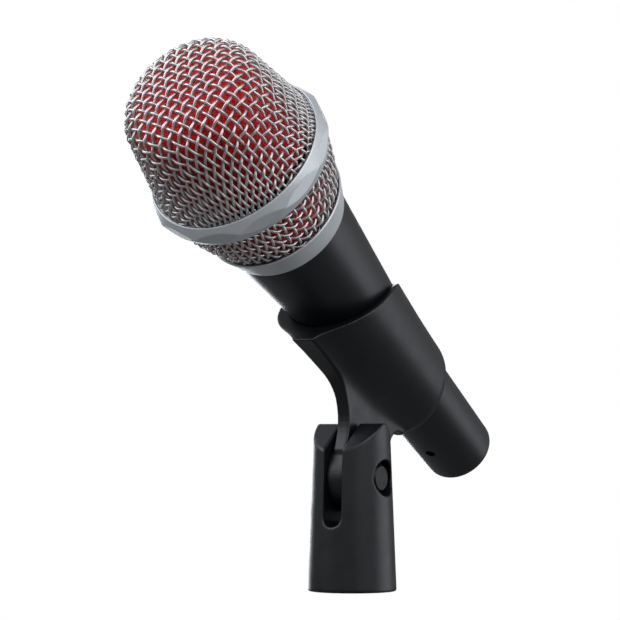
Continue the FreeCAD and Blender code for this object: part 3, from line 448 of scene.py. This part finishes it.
def wire_rings(outline, family, axis_angle, phase):
    """Rings of points round every wire of one family, and each ring's distance from the pole.

    Each wire is a line of the flat cloth, whose middle surface lies a wire inside the cup's
    outline. The centre rides up to half a wire above and below that surface as a cosine that
    changes sign at each crossing wire. The ring lies square to the wire: half a wire times
    (side * cos(turn) + crown * sin(turn)).
    """
    length, radius, station = outline
    count = int(SHEET_REACH / PITCH)
    number = np.arange(-count, count + 1)
    run = np.arange(-count * SAMPLES, count * SAMPLES + 1) / SAMPLES * PITCH
    fixed, moving = np.meshgrid((number + phase[family]) * PITCH, run, indexing="ij")
    u, v = (fixed, moving) if family == 0 else (moving, fixed)
    distance, angle = drawn(u, v, axis_angle)
    r, s = np.interp(distance, length, radius), np.interp(distance, length, station)
    out_r = -np.interp(distance, length, np.gradient(station, length))
    out_s = np.interp(distance, length, np.gradient(radius, length))
    if station[-1] > station[0]:
        out_r, out_s = -out_r, -out_s
    sign = np.where(number % 2 == 0, 1.0, -1.0)[:, None] * (1 if family == 0 else -1)
    lift = sign * np.cos(np.pi * (moving / PITCH - phase[1 - family])) * WIRE / 2 - WIRE
    normal = np.stack([out_r * np.cos(angle), out_r * np.sin(angle), out_s], axis=-1)
    centre = np.stack([r * np.cos(angle), r * np.sin(angle), s], axis=-1)
    centre += normal * lift[..., None]
    tangent = np.gradient(centre, axis=1)
    tangent /= np.maximum(np.linalg.norm(tangent, axis=-1, keepdims=True), TINY)
    side = np.cross(tangent, normal)
    side /= np.maximum(np.linalg.norm(side, axis=-1, keepdims=True), TINY)
    crown = np.cross(side, tangent)
    turn = (np.arange(SIDES) * 2 * np.pi / SIDES)[:, None]
    rings = side[:, :, None] * np.cos(turn) + crown[:, :, None] * np.sin(turn)
    return centre[:, :, None] + WIRE / 2 * rings, distance


def wire_set(outline, family, axis_angle, phase):
    """Points and faces of one family of wires, kept where they lie between the outline's ends.

    A wire can leave the cup and come back, so each run of kept rings is a tube of its own: quads
    join each ring to the next, and a flat cap closes each end.
    """
    rings, distance = wire_rings(outline, family, axis_angle, phase)
    kept = (distance >= outline[0, 0]) & (distance <= outline[0, -1])
    linked = kept[:, :-1] & kept[:, 1:]
    behind, ahead = np.zeros_like(kept), np.zeros_like(kept)
    behind[:, 1:], ahead[:, :-1] = linked, linked
    used = behind | ahead
    number = np.cumsum(used.ravel()).reshape(used.shape) - 1
    start, end = number[:, :-1][linked][:, None] * SIDES, number[:, 1:][linked][:, None] * SIDES
    k = np.arange(SIDES)
    k_next = (k + 1) % SIDES
    quads = np.stack([start + k, start + k_next, end + k_next, end + k], axis=-1).reshape(-1, 4)
    heads = number[used & ~behind][:, None] * SIDES + k[::-1]
    tails = number[used & ~ahead][:, None] * SIDES + k
    x, y, station = rings[used].reshape(-1, 3).T
    return on_mic(x, y, station), quads.tolist() + heads.tolist() + tails.tolist()


UPPER_AXIS, UPPER_PHASE = math.radians(69.9), (-0.12, 0.34)
for family, name in enumerate(("upper_mesh_warp", "upper_mesh_weft")):
    points, faces = wire_set(upper_cloth, family, UPPER_AXIS, UPPER_PHASE)
    new_piece(name, points, faces, "grille", "mesh_wire", ["upper_mesh"], sharp=80)

# %% [markdown]
# ## The lower cloth
#
# The half below the ring is a shallower cup with its pole towards the handle, cut open where it
# meets the band. It is drawn from its own sheet, so its weave has its own direction. Its missing
# pole lies so far along the outline from the band.

# %% Lower wire cloth
LOWER_START = 21.5
LOWER_AXIS, LOWER_PHASE = math.radians(-30.0), (0.0, 0.0)
lower_cup = cup_outline("lower_mesh", pole_first=False)
lower_cloth = carried_on(lower_cup, TUCK_BAND, TUCK_RING)
lower_cloth[0] += LOWER_START - lower_cloth[0, 0]
for family, name in enumerate(("lower_mesh_warp", "lower_mesh_weft")):
    points, faces = wire_set(lower_cloth, family, LOWER_AXIS, LOWER_PHASE)
    new_piece(name, points, faces, "grille", "mesh_wire", ["lower_mesh"], sharp=80)

# %% [markdown]
# ## The foam behind the cloth
#
# A layer of open-cell foam lines the grille, a little inside the wires. It is soft, so the CAD's
# plain shell is replaced by one whose faces are pitted: each point is moved in or out by a small
# random amount, smoothed along the grid so that the pits are one or two millimetres wide.

# %% Foam linings
CHANCE = np.random.default_rng(7)
FOAM_GAP, FOAM_THICKNESS = 2 * WIRE + 0.7, 1.7
FOAM_ROWS, FOAM_COLUMNS = 90, 240
PIT_DEPTH, DEEPEST = 0.16, 1.5


def lining_profile(outline, closed_top):
    """The (radius, station) profile of a shell that lies FOAM_GAP inside a cup's outline.

    Each wall is the outline moved square to itself. It starts and ends on the axis when the cup
    has a closed top, and is a loop otherwise.
    """
    length, radius, station = outline
    even = np.linspace(length[0], length[-1], FOAM_ROWS)
    r, t = np.interp(even, length, radius), np.interp(even, length, station)
    dr, dt = np.gradient(r, even), np.gradient(t, even)
    inward = np.sign(dt.sum()) * np.stack([-dt, dr], axis=-1)
    outer = np.stack([r, t], axis=-1) + inward * FOAM_GAP
    inner = np.stack([r, t], axis=-1) + inward * (FOAM_GAP + FOAM_THICKNESS)
    if closed_top:
        outer[0, 0] = inner[0, 0] = 0
        return np.vstack([np.maximum(inner, 0), np.maximum(outer, 0)[::-1]])
    return np.vstack([outer, inner[::-1]])


def foam_lining(name, profile, node):
    """A turned shell whose points are moved along their radius by PIT_DEPTH times a random number.

    On the grid that number is half the sum of four neighbours' own, which keeps its spread.
    """
    points, faces = turned(profile, FOAM_COLUMNS)
    pits = CHANCE.normal(size=len(points))
    count = len(points) // FOAM_COLUMNS * FOAM_COLUMNS
    own = pits[:count].reshape(-1, FOAM_COLUMNS)
    beside = own + np.roll(own, 1, 1)
    pits[:count] = (beside + np.roll(beside, 1, 0)).ravel() / 2
    pits = np.clip(pits, -DEEPEST, DEEPEST)[:, None]
    from_tail = points - TAIL
    from_axis = from_tail - np.outer(from_tail @ ALONG, ALONG)
    lengths = np.linalg.norm(from_axis, axis=1, keepdims=True)
    points = points + from_axis / np.maximum(lengths, 1) * pits * PIT_DEPTH
    piece = new_piece(name, points, faces, "grille", "red_foam", [node], sharp=180)


foam_lining("upper_foam_lining", lining_profile(upper_cup, True), "upper_foam")
foam_lining("lower_foam_lining", lining_profile(lower_cup, False), "lower_foam")

# %% [markdown]
# The felt disc on the capsule's cap is soft too. Its edge is a half round and its faces are lumpy.

# %% Felt disc
FELT_LUMP = 0.03
felt_low, felt_high, felt_radius = reach("capsule_felt")
half_thick = (felt_high - felt_low) / 2
bulge = np.radians(np.linspace(-90, 90, 9))
half_round = np.stack([
    felt_radius - half_thick + half_thick * np.cos(bulge),
    (felt_low + felt_high) / 2 + half_thick * np.sin(bulge),
], axis=-1)
inward = np.linspace(felt_radius - half_thick, 0, 25)[1:]
under = np.stack([inward[::-1], 0 * inward + felt_low], axis=-1)
over = np.stack([inward, 0 * inward + felt_high], axis=-1)
points, faces = turned(np.vstack([under, half_round, over]), 96)
lumps = np.abs(CHANCE.normal(size=(len(points), 1)).clip(-2, 2)) * FELT_LUMP
felt = new_piece("felt_disc", points - ALONG * lumps, faces, "microphone", "grey_felt",
                 ["capsule_felt"], sharp=180)

# %% [markdown]
# ## The ring and the band
#
# The ring is a zinc casting that clamps the two cups together. It is a double cone cut by twelve
# flats, and each flat leaves a lens-shaped facet. In numbers it is a profile turned round the axis
# whose radius is the smaller of the cone's and the flat's, with the smaller one chosen softly, so
# that the edges between them are rounded as cast metal is. A groove above and below takes the
# cloth's edges. The band below is a plain turned cone with a lip.

# %% Ring
RING_FLATS, COLUMNS_A_FLAT, FIRST_CORNER = 12, 36, math.radians(20)
EDGE_SOFTNESS = 0.05
RING_FOOT, RING_TOP, RING_BORE = 25.2, 25.3, 23.0  # radii
RING_WAIST, WAIST_HALF, WAIST_CUT = 3.9, 0.12, 0.05  # height of the widest place, blunt edge
LIP, LIP_ROUND, GROOVE = 0.35, 0.15, 1.25  # rim outside each groove, and the groove's depth
ring_low, ring_high, ring_radius = reach("grille_ring")


def along_loop(corners, count):
    """Points along the straight sides of a closed loop of corners, so many to each side."""
    corners = np.asarray(corners, float)
    share = np.linspace(0, 1, count, endpoint=False)[:, None]
    sides = zip(corners, np.roll(corners, -1, axis=0))
    return np.vstack([start + (end - start) * share for start, end in sides])


widest = ring_radius - WAIST_CUT
ring_loop = along_loop([
    (RING_FOOT - LIP_ROUND, ring_low), (RING_FOOT, ring_low + LIP_ROUND),
    (widest, ring_low + RING_WAIST - WAIST_HALF), (widest, ring_low + RING_WAIST + WAIST_HALF),
    (RING_TOP, ring_high - LIP_ROUND), (RING_TOP - LIP_ROUND, ring_high),
    (RING_TOP - LIP, ring_high), (RING_TOP - LIP - LIP_ROUND, ring_high - LIP_ROUND),
    (RING_TOP - LIP - LIP_ROUND, ring_high - GROOVE), (RING_BORE, ring_high - GROOVE),
    (RING_BORE, ring_low + GROOVE), (RING_FOOT - LIP - LIP_ROUND, ring_low + GROOVE),
    (RING_FOOT - LIP - LIP_ROUND, ring_low + LIP_ROUND), (RING_FOOT - LIP, ring_low),
], 14)
angle = circle_of(RING_FLATS * COLUMNS_A_FLAT)
flat_turn = np.pi * 2 / RING_FLATS
from_flat = (angle - FIRST_CORNER) % flat_turn - flat_turn / 2
flat = ring_radius * math.cos(flat_turn / 2) / np.cos(from_flat)
cone = ring_loop[:, :1]
radii = (cone + flat - np.sqrt((cone - flat) ** 2 + EDGE_SOFTNESS ** 2)) / 2
points = on_mic(radii * np.cos(angle), radii * np.sin(angle), ring_loop[:, 1:]).reshape(-1, 3)
faces = grid_faces(len(ring_loop), len(angle), close_rows=True).tolist()
new_piece("faceted_ring", points, faces, "grille", "silver_lacquer", ["grille_ring"], sharp=40)

# %% Band
BAND_REAR, BAND_BORE, BAND_EDGE = 17.94, 16.05, 0.25
BAND_LIP, LEDGE_SLANT, LEDGE_DEPTH = 0.5, 0.7, 2.6
band_low, band_high, band_radius = reach("grille_band")
ledge = band_high - LEDGE_DEPTH
band_loop = along_loop([
    (BAND_BORE, band_low), (BAND_REAR - BAND_EDGE, band_low), (BAND_REAR, band_low + BAND_EDGE),
    (band_radius, band_high - BAND_EDGE), (band_radius - BAND_EDGE, band_high),
    (band_radius - BAND_LIP, band_high), (band_radius - BAND_LIP - LEDGE_SLANT, ledge),
    (BAND_BORE, ledge),
], 4)
points, faces = turned(band_loop, 192)
new_piece("silver_band", points, faces, "grille", "silver_lacquer", ["grille_band"], sharp=25)

# %% [markdown]
# ## The handle
#
# An aluminium tube turned to a slim waist and a wider mouth, painted black. Its outline is two
# straight cones that meet at the waist in a soft bend, and a rounded edge at the tail. The bore
# steps in at the tail, where the cable socket sits. A small hole on the underside holds the
# socket's screw, and a Boolean cuts it, because a turned grid has no hole.

# %% Handle
HANDLE_TAIL, HANDLE_WAIST, WAIST_STATION, WAIST_BEND = 10.8, 11.9, 56.8, 6.0
TAIL_EDGE, MOUTH_EDGE, WALL = 1.6, 0.2, 2.2
SOCKET, SOCKET_EDGE, SOCKET_END, SOCKET_STEP = 8.25, 0.4, 22.0, 5.0
_, handle_high, handle_radius = reach("handle_body")
REAR_TAPER = (HANDLE_WAIST - HANDLE_TAIL) / WAIST_STATION


def past_waist(station):
    """How far a station is past the waist, softly: (sqrt(past^2 + WAIST_BEND^2) + past) / 2."""
    past = station - WAIST_STATION
    return (np.sqrt(past ** 2 + WAIST_BEND ** 2) + past) / 2


def handle_outline(station):
    """Radius at a station: the rear cone's, plus the mouth's extra, which grows past the waist."""
    extra = handle_radius - HANDLE_TAIL - REAR_TAPER * handle_high
    cone = HANDLE_TAIL + REAR_TAPER * station
    return cone + extra * past_waist(station) / past_waist(handle_high)


outside = np.linspace(TAIL_EDGE, handle_high - MOUTH_EDGE, 60)
inside = np.linspace(handle_high, SOCKET_END + SOCKET_STEP, 24)
corner = np.linspace(0, np.pi / 2, 9)[:-1]
handle_loop = np.vstack([
    np.stack([handle_outline(TAIL_EDGE) - TAIL_EDGE * (1 - np.sin(corner)),
              TAIL_EDGE * (1 - np.cos(corner))], axis=-1),
    np.stack([handle_outline(outside), outside], axis=-1),
    [(handle_radius - MOUTH_EDGE, handle_high)],
    np.stack([handle_outline(inside) - WALL, inside], axis=-1),
    [(SOCKET, SOCKET_END), (SOCKET, SOCKET_EDGE), (SOCKET + SOCKET_EDGE, 0)],
])
points, faces = turned(handle_loop, 192)
handle = new_piece("black_handle", points, faces, "microphone", "black_enamel", ["handle_body"],
                   sharp=35)

# %% Hole for the socket's screw
SCREW_STATION, SCREW_HOLE, SCREW_OUTSIDE, SCREW_INSIDE = 16.0, 1.55, -14.0, -9.0


def drill(piece, start, end, radius, segments=48):
    """Cut a round hole in a piece between two points in mm, and keep the cut mesh."""
    axis = (end - start) / np.linalg.norm(end - start)
    side = np.cross(axis, ACROSS)
    side /= np.linalg.norm(side)
    angle = circle_of(segments)[:, None]
    circle = radius * (side * np.cos(angle) + np.cross(axis, side) * np.sin(angle))
    ends = [list(range(segments))[::-1], list(range(segments, 2 * segments))]
    mesh = bpy.data.meshes.new("drill")
    mesh.from_pydata((np.vstack([start + circle, end + circle]) * MM).tolist(), [],
                     grid_faces(2, segments).tolist() + ends)
    tool = bpy.data.objects.new("drill", mesh)
    bpy.context.scene.collection.objects.link(tool)
    cut = piece.modifiers.new("hole", "BOOLEAN")
    cut.operation, cut.solver, cut.object = "DIFFERENCE", "EXACT", tool
    before = len(piece.data.polygons)
    evaluated = piece.evaluated_get(bpy.context.evaluated_depsgraph_get())
    piece.data = bpy.data.meshes.new_from_object(evaluated)
    piece.modifiers.clear()
    bpy.data.objects.remove(tool)
    bpy.data.meshes.remove(mesh)
    print(piece.name, "drilled:", before, "faces before,", len(piece.data.polygons), "after")


drill(handle, on_mic(0, SCREW_OUTSIDE, SCREW_STATION), on_mic(0, SCREW_INSIDE, SCREW_STATION),
      SCREW_HOLE)

# %% [markdown]
# ## Solids from a distance rule
#
# The clip and the base are moulded: walls run into each other in hollow fillets and every edge is a
# little round. No profile or grid gives that, so they are described by a rule that says how far any
# point is outside the solid. Pieces are joined by the smaller of two such distances and cut by the
# larger, and both are chosen softly, which makes the fillets and the round edges. The surface is
# where the rule gives zero. It is found on a fine grid of cells, and every point is then moved onto
# it along the slope of the rule.

# %% Distance rules and their surface
def joined(a, b, soft):
    """The smaller of two distances, with a fillet: less (soft - |a - b|)^2 / (4 soft) if near."""
    near = np.maximum(soft - np.abs(a - b), 0)
    return np.minimum(a, b) - near ** 2 / (4 * soft)


def common(a, b, soft):
    """The larger of two distances, with a round edge: the mirror image of joined."""
    return -joined(-a, -b, soft)


def polygon_distance(p, q, corners):
    """Distance of points (p, q) from a polygon's outline, negative inside.

    Each edge's nearest place is found by projecting on it, and a point is inside when a ray from it
    crosses the outline an odd number of times.
    """
    nearest = np.full(np.shape(p), np.inf)
    inside = np.zeros(np.shape(p), bool)
    for (p1, q1), (p2, q2) in zip(corners, np.roll(corners, -1, axis=0)):
        run, rise = p2 - p1, q2 - q1
        share = np.clip(((p - p1) * run + (q - q1) * rise) / (run ** 2 + rise ** 2), 0, 1)
        away = (p - p1 - share * run) ** 2 + (q - q1 - share * rise) ** 2
        nearest = np.minimum(nearest, away)
        level = (q1 > q) != (q2 > q)
        inside ^= level & (p < p1 + (q - q1) * run / (rise + (rise == 0)))
    return np.where(inside, -1, 1) * np.sqrt(nearest)


NEWTON_STEPS, LEAST_SLOPE = 3, 0.2


def surface(rule, low, high, cell):
    """Points and faces of the surface where rule(x, y, z) is zero inside a box of cells.

    A cell whose corners differ in sign gets one point, the mean of the places where the surface
    crosses its edges. A grid edge whose ends differ in sign gets a quad between the four cells
    round it. Newton steps then move each point by -rule * slope / slope^2.
    """
    low = np.asarray(low, float)
    counts = np.ceil((np.asarray(high) - low) / cell).astype(int) + 1
    lines = [low[k] + cell * np.arange(counts[k]) for k in range(3)]
    value = rule(*np.meshgrid(*lines, indexing="ij"))
    cells = tuple(counts - 1)
    total, hits = np.zeros((int(np.prod(cells)), 3)), np.zeros(int(np.prod(cells)))
    unit, quads = np.eye(3, dtype=int), []
    for axis in range(3):
        first = np.take(value, range(counts[axis] - 1), axis)
        second = np.take(value, range(1, counts[axis]), axis)
        start = np.argwhere((first < 0) != (second < 0))
        a, b = first[tuple(start.T)], second[tuple(start.T)]
        place = start + (a / (a - b))[:, None] * unit[axis]
        left, up = unit[(axis + 1) % 3], unit[(axis + 2) % 3]
        round_edge = np.stack([start, start - left, start - left - up, start - up], axis=1)
        number = np.ravel_multi_index(tuple(np.moveaxis(round_edge, -1, 0)), cells)
        np.add.at(total, number, place[:, None])
        np.add.at(hits, number, 1)
        quads.append(np.where((a < 0)[:, None], number, number[:, ::-1]))
    used = hits > 0
    points = low + cell * total[used] / hits[used][:, None]
    renumber = np.cumsum(used) - 1
    nudge = cell / 10
    for _ in range(NEWTON_STEPS):
        slope = np.stack([
            rule(*(points + step).T) - rule(*(points - step).T) for step in np.eye(3) * nudge
        ], axis=-1) / (2 * nudge)
        steepness = np.maximum((slope ** 2).sum(axis=1), LEAST_SLOPE)[:, None]
        move = -rule(*points.T)[:, None] * slope / steepness
        points += np.clip(move, -cell / 2, cell / 2)
    return points, renumber[np.vstack(quads)].tolist()


# %% [markdown]
# ## The clip
#
# One moulding: a sleeve that the handle wedges into, and a web below it that ends in a pivot boss.
# The sleeve's wall is thin and follows the handle above, and below it is a wider round that hangs
# down, so its section is egg-shaped. The web is a plate whose sides sweep out into the sleeve. The
# front rim is cut on a slant and has a crisp edge; the rear rim rolls in to meet the handle. Here a
# place is given across, over the microphone's axis, and along it from the pivot.

# %% Clip sizes
pivot_over, pivot_station = (float((PIVOT - TAIL) @ axis) for axis in (OVER, ALONG))
MOULD_EDGE = 0.45
# The sleeve: a wall round the handle, and a wider round that drops and grows towards the front.
SLEEVE_WALL, SLEEVE_GAP, WALL_SOFT = 1.3, 0.12, 2.0
REAR_ROUND, REAR_DROP, FRONT_ROUND, FRONT_DROP = 13.9, 1.0, 17.0, 2.5
ROUND_START = -15.15
# The front rim: a slant that turns down more steeply above the handle, and flares the bore.
FRONT_RIM, FRONT_SLOPE = 33.7, 0.453
THROAT_START, THROAT_SLOPE, THROAT_BEND = 4.5, 0.95, 2.5
FUNNEL, FUNNEL_DEPTH = 0.25, 4.0
# The rear rim: a gentler slant that sweeps back below the handle, with a large round edge.
REAR_RIM, REAR_SLOPE, REAR_SWEEP, REAR_ROLL = -14.8, 0.2, 0.024, 5.0
# The web: a plate whose fillet into the sleeve grows forwards to its full size.
WEB_HALF, WEB_TOP_SOFT, WEB_REAR_SOFT = 2.0, 1.0, 2.0
FLARE_LEAST, FLARE_FULL, FLARE_GROWTH, FLARE_PLACE = 2.0, 8.0, 0.3, 5.0
# The pivot boss and its hole.
BOSS_RADIUS, BOSS_HALF, BOSS_SOFT, BOLT_HOLE, HOLE_EDGE = 9.8, 2.9, 1.0, 2.5, 0.3
# The web's outline from the side: a hollow curve in front of the boss and a heel behind it.
KEEL, KEEL_STATION, KEEL_CURVE = -22.5, 26.6, 16.0
KEEL_FALLS = ((60.0, 1.5), (44.7, 0.7), (37.7, 0.1))  # how far the keel has fallen, by station
HEEL, HEEL_STATION, HEEL_CURVE = -22.3, -11.2, 5.5
WEB_REAR = HEEL_STATION - HEEL_CURVE - 1.0
FOOT_STATION, FOOT = -22.0, -15.6  # where the outline turns back behind the heel
AHEAD, BEHIND, ABOVE = KEEL_FALLS[0][0], -40.0, 30.0  # well outside the clip


def arc(centre, radius, first, last, count):
    """Points of an arc round (along, over), between two angles in degrees."""
    angle = np.radians(np.linspace(first, last, count))
    along, over = centre
    return np.stack([along + radius * np.cos(angle), over + radius * np.sin(angle)], axis=-1)


side_view = np.vstack([
    [(AHEAD, ABOVE)] + [(station, KEEL - fall) for station, fall in KEEL_FALLS],
    arc((KEEL_STATION, KEEL - KEEL_CURVE), KEEL_CURVE, 90, 180, 16),
    arc((0, pivot_over), BOSS_RADIUS, 10, -190, 30),
    arc((HEEL_STATION - HEEL_CURVE, HEEL), HEEL_CURVE, 0, 90, 10),
    [(FOOT_STATION, FOOT), (BEHIND, FOOT), (BEHIND, ABOVE)],
])
print("the clip's side view has", len(side_view), "corners")


# %% Clip
def sleeve_rule(across, over, along, handle):
    """How far a place is outside the sleeve before its front rim and bore are cut."""
    share = (along - ROUND_START) / (FRONT_RIM - ROUND_START)
    hanging = np.hypot(across, over + REAR_DROP + (FRONT_DROP - REAR_DROP) * share)
    hanging -= REAR_ROUND + (FRONT_ROUND - REAR_ROUND) * share
    wall = np.hypot(across, over) - handle - SLEEVE_WALL
    below = np.minimum(over, 0)
    behind = REAR_RIM + REAR_SLOPE * over - REAR_SWEEP * below ** 2 - along
    behind /= np.hypot(1, REAR_SLOPE - 2 * REAR_SWEEP * below)
    return common(joined(wall, hanging, WALL_SOFT), behind, REAR_ROLL)


def front_rule(over, along):
    """How far a place is ahead of the front rim.

    The rim's station falls by FRONT_SLOPE for each mm over the axis, and by THROAT_SLOPE more past
    THROAT_START. Dividing by the length of the rule's slope makes it a distance.
    """
    past = over - THROAT_START
    bend = np.hypot(past, THROAT_BEND)
    ahead = along - FRONT_RIM + FRONT_SLOPE * over + THROAT_SLOPE * (past + bend) / 2
    return ahead / np.hypot(1, FRONT_SLOPE + THROAT_SLOPE * (1 + past / bend) / 2)


def clip_rule(across, over, along):
    """How far a place is outside the clip: sleeve, web and boss joined, then cut to shape."""
    handle = handle_outline(along + pivot_station)
    sleeve = sleeve_rule(across, over, along, handle)
    web = common(np.abs(across) - WEB_HALF, over, WEB_TOP_SOFT)
    web = common(web, WEB_REAR - along, WEB_REAR_SOFT)
    flare = FLARE_FULL + (along - FLARE_PLACE) * FLARE_GROWTH
    from_pivot = np.hypot(along, over - pivot_over)
    boss = common(from_pivot - BOSS_RADIUS, np.abs(across) - BOSS_HALF, MOULD_EDGE)
    solid = joined(sleeve, web, np.clip(flare, FLARE_LEAST, FLARE_FULL))
    solid = joined(solid, boss, BOSS_SOFT)
    solid = common(solid, polygon_distance(along, over, side_view), MOULD_EDGE)
    funnel = FUNNEL * np.clip(-sleeve, 0, FUNNEL_DEPTH)
    solid = common(solid, front_rule(over, along) + funnel, MOULD_EDGE)
    solid = common(solid, handle + SLEEVE_GAP - np.hypot(across, over), MOULD_EDGE)
    return common(solid, BOLT_HOLE - from_pivot, HOLE_EDGE)


CLIP_CELL, CLIP_LOW, CLIP_HIGH = 0.45, (-19.5, -53.5, -30.5), (19.5, 18.5, 47.5)
points, faces = surface(clip_rule, CLIP_LOW, CLIP_HIGH, CLIP_CELL)
points = on_mic(points[:, 0], points[:, 1], points[:, 2] + pivot_station)
new_piece("moulded_clip", points, faces, "clip", "moulded_nylon", ["clip_sleeve"], sharp=180)

# %% [markdown]
# ## The base
#
# A tapered moulding with a slot for the clip's boss. Its top is cut to a ridge, so that each ear
# ends in two sloped flats, and the edges where they meet the round side are arcs. The bolt's head
# sits in a round recess on one side and the nut in a hexagonal one on the other.

# %% Base
BASE_FOOT, BASE_TOP, FOOT_EDGE = 12.85, 11.0, 0.8  # radii, and the round of the bottom edge
CREST, RIDGE, ROOF_FALL, ROOF_EDGE = 1.7, 1.0, 7.7, 0.4  # ears' height over the CAD's, and roof
SLOT_HALF, SLOT_FLOOR = 3.0, 18.6
RECESS, NUT_POCKET, RECESS_FLOOR, RECESS_EDGE, BOLT_EDGE = 5.2, 4.1, 6.4, 0.3, 0.2
INSERT, INSERT_DEPTH, INSERT_SOFT, INSERT_EDGE = 9.52, 13.0, 0.1, 0.2
base_high = float(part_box("stand_base")[1][2]) / MM + CREST


def base_rule(x, y, z):
    """How far a place is outside the base: a cone under a roof, less slot, recesses and bores."""
    side = np.hypot(x, y) - BASE_FOOT + (BASE_FOOT - BASE_TOP) * z / base_high
    fall = ROOF_FALL / (BASE_TOP - RIDGE)
    roof = (z - base_high + fall * (np.abs(y) - RIDGE)) / math.hypot(1, fall)
    solid = common(side, common(roof, z - base_high, ROOF_EDGE), MOULD_EDGE)
    solid = common(solid, -z, FOOT_EDGE)
    slot = np.hypot(x, np.minimum(z - SLOT_FLOOR - SLOT_HALF, 0)) - SLOT_HALF
    solid = common(solid, -slot, MOULD_EDGE)
    from_pivot = np.hypot(y, z - PIVOT[2])
    bolt_side = common(from_pivot - RECESS, RECESS_FLOOR - x, RECESS_EDGE)
    solid = common(solid, -bolt_side, MOULD_EDGE)
    up = (z - PIVOT[2]) * math.sin(math.radians(60))
    hexagon = np.maximum(np.abs(y), np.maximum(np.abs(y / 2 + up), np.abs(y / 2 - up)))
    nut_side = common(hexagon - NUT_POCKET, RECESS_FLOOR + x, RECESS_EDGE)
    solid = common(solid, -nut_side, RECESS_EDGE)
    solid = common(solid, BOLT_HOLE - from_pivot, BOLT_EDGE)
    insert = common(np.hypot(x, y) - INSERT, z - INSERT_DEPTH, INSERT_SOFT)
    return common(solid, -insert, INSERT_EDGE)


BASE_CELL, BASE_LOW, BASE_HIGH = 0.42, (-14, -14, -1.03), (14, 14, base_high + 1)
points, faces = surface(base_rule, BASE_LOW, BASE_HIGH, BASE_CELL)
new_piece("moulded_base", points, faces, "stand", "moulded_nylon", ["stand_base"], sharp=180)

# %% [markdown]
# ## The studio
#
# The floor and the world are white where the camera looks straight at them, and dim for every other
# ray. So the object stands in plain white, and its light still comes from the lamps, with deep
# blacks on the sides that no lamp faces.
#
# Five soft lights shape it. The key, from the upper right, models the head and the ring. The fill
# on the left and the weak front light open the shadows between the wires. The two rim lights stand
# low behind the object, and their reflections are what shows the black parts' shape: a broad soft
# band down the right of the handle and the clip, and a thin light line along the left edges.

# %% Floor
FLOOR_WHITE, FLOOR_BOUNCE = 0.96, 0.06
# The base screws onto a stand, so it stands clear of the floor by more than the microphone reaches
# down when the clip tilts it head-down.
FLOOR_HALF, FLOOR_DROP = 6.0, 0.28


def to_camera(tree, straight, bounced):
    """A value that is one number for what the camera sees straight and another for other rays."""
    path = add(tree, "ShaderNodeLightPath")
    return remap(tree, path.outputs["Is Camera Ray"], bounced, straight)


floor_mesh = bpy.data.meshes.new("floor")
floor_corners = [
    (x * FLOOR_HALF, y * FLOOR_HALF, -FLOOR_DROP) for x, y in ((-1, -1), (1, -1), (1, 1), (-1, 1))
]
floor_mesh.from_pydata(floor_corners, [], [(0, 1, 2, 3)])
floor = bpy.data.objects.new("floor", floor_mesh)
bpy.context.scene.collection.objects.link(floor)
# Painted board: matt mid grey, with a glow that makes it white in the picture.
pale_floor = finish("pale_floor", "#4c4c4c", 0.0, 0.9, patch=400.0, tone=0.01, uneven=0.02,
                    grain=30.0)
floor_tree = pale_floor.node_tree
floor_shader = floor_tree.nodes["Principled BSDF"]
floor_shader.inputs["Emission Color"].default_value = colour("#ffffff")
floor_tree.links.new(to_camera(floor_tree, FLOOR_WHITE, FLOOR_BOUNCE),
                     floor_shader.inputs["Emission Strength"])
floor_mesh.materials.append(pale_floor)
print("floor", FLOOR_DROP, "m below the base")

# %% Lights
LIGHT_TINT = "#f3f8ff"
LIGHT_AIM = np.array([0.0, -0.02, 0.09])


def soft_light(name, azimuth, elevation, distance, size, power):
    """A square area light of that size in metres, so far from its aim in a direction in degrees."""
    light = bpy.data.lights.new(name, "AREA")
    light.shape, light.size, light.energy = "SQUARE", size, power
    light.color = colour(LIGHT_TINT)[:3]
    lamp = bpy.data.objects.new(name, light)
    bpy.context.scene.collection.objects.link(lamp)
    azimuth, elevation = math.radians(azimuth), math.radians(elevation)
    away = np.array([
        math.sin(azimuth) * math.cos(elevation),
        -math.cos(azimuth) * math.cos(elevation),
        math.sin(elevation),
    ])
    lamp.location = (LIGHT_AIM + away * distance).tolist()
    lamp.rotation_mode = "QUATERNION"
    lamp.rotation_quaternion = Vector(away.tolist()).to_track_quat("Z", "Y")


soft_light("key", 66, 32, 1.0, 0.9, 6.4)
soft_light("fill_left", -55, 38, 1.1, 1.1, 11.0)
soft_light("front", 8, 30, 1.2, 0.8, 3.0)
soft_light("rim_right", 128, -2, 1.0, 0.8, 4.2)
soft_light("rim_left", 222, 8, 1.1, 0.8, 11.0)
print(len(bpy.data.lights), "lights")

# %% World
BACKDROP, AMBIENT = 1.0, 0.25
world = bpy.data.worlds.new("studio")
bpy.context.scene.world = world
world.use_nodes = True
background = world.node_tree.nodes["Background"]
background.inputs["Color"].default_value = colour("#ffffff")
world.node_tree.links.new(to_camera(world.node_tree, BACKDROP, AMBIENT),
                          background.inputs["Strength"])
bpy.context.scene.view_settings.view_transform = "Standard"
print("world", BACKDROP, "to the camera and", AMBIENT, "to other rays")
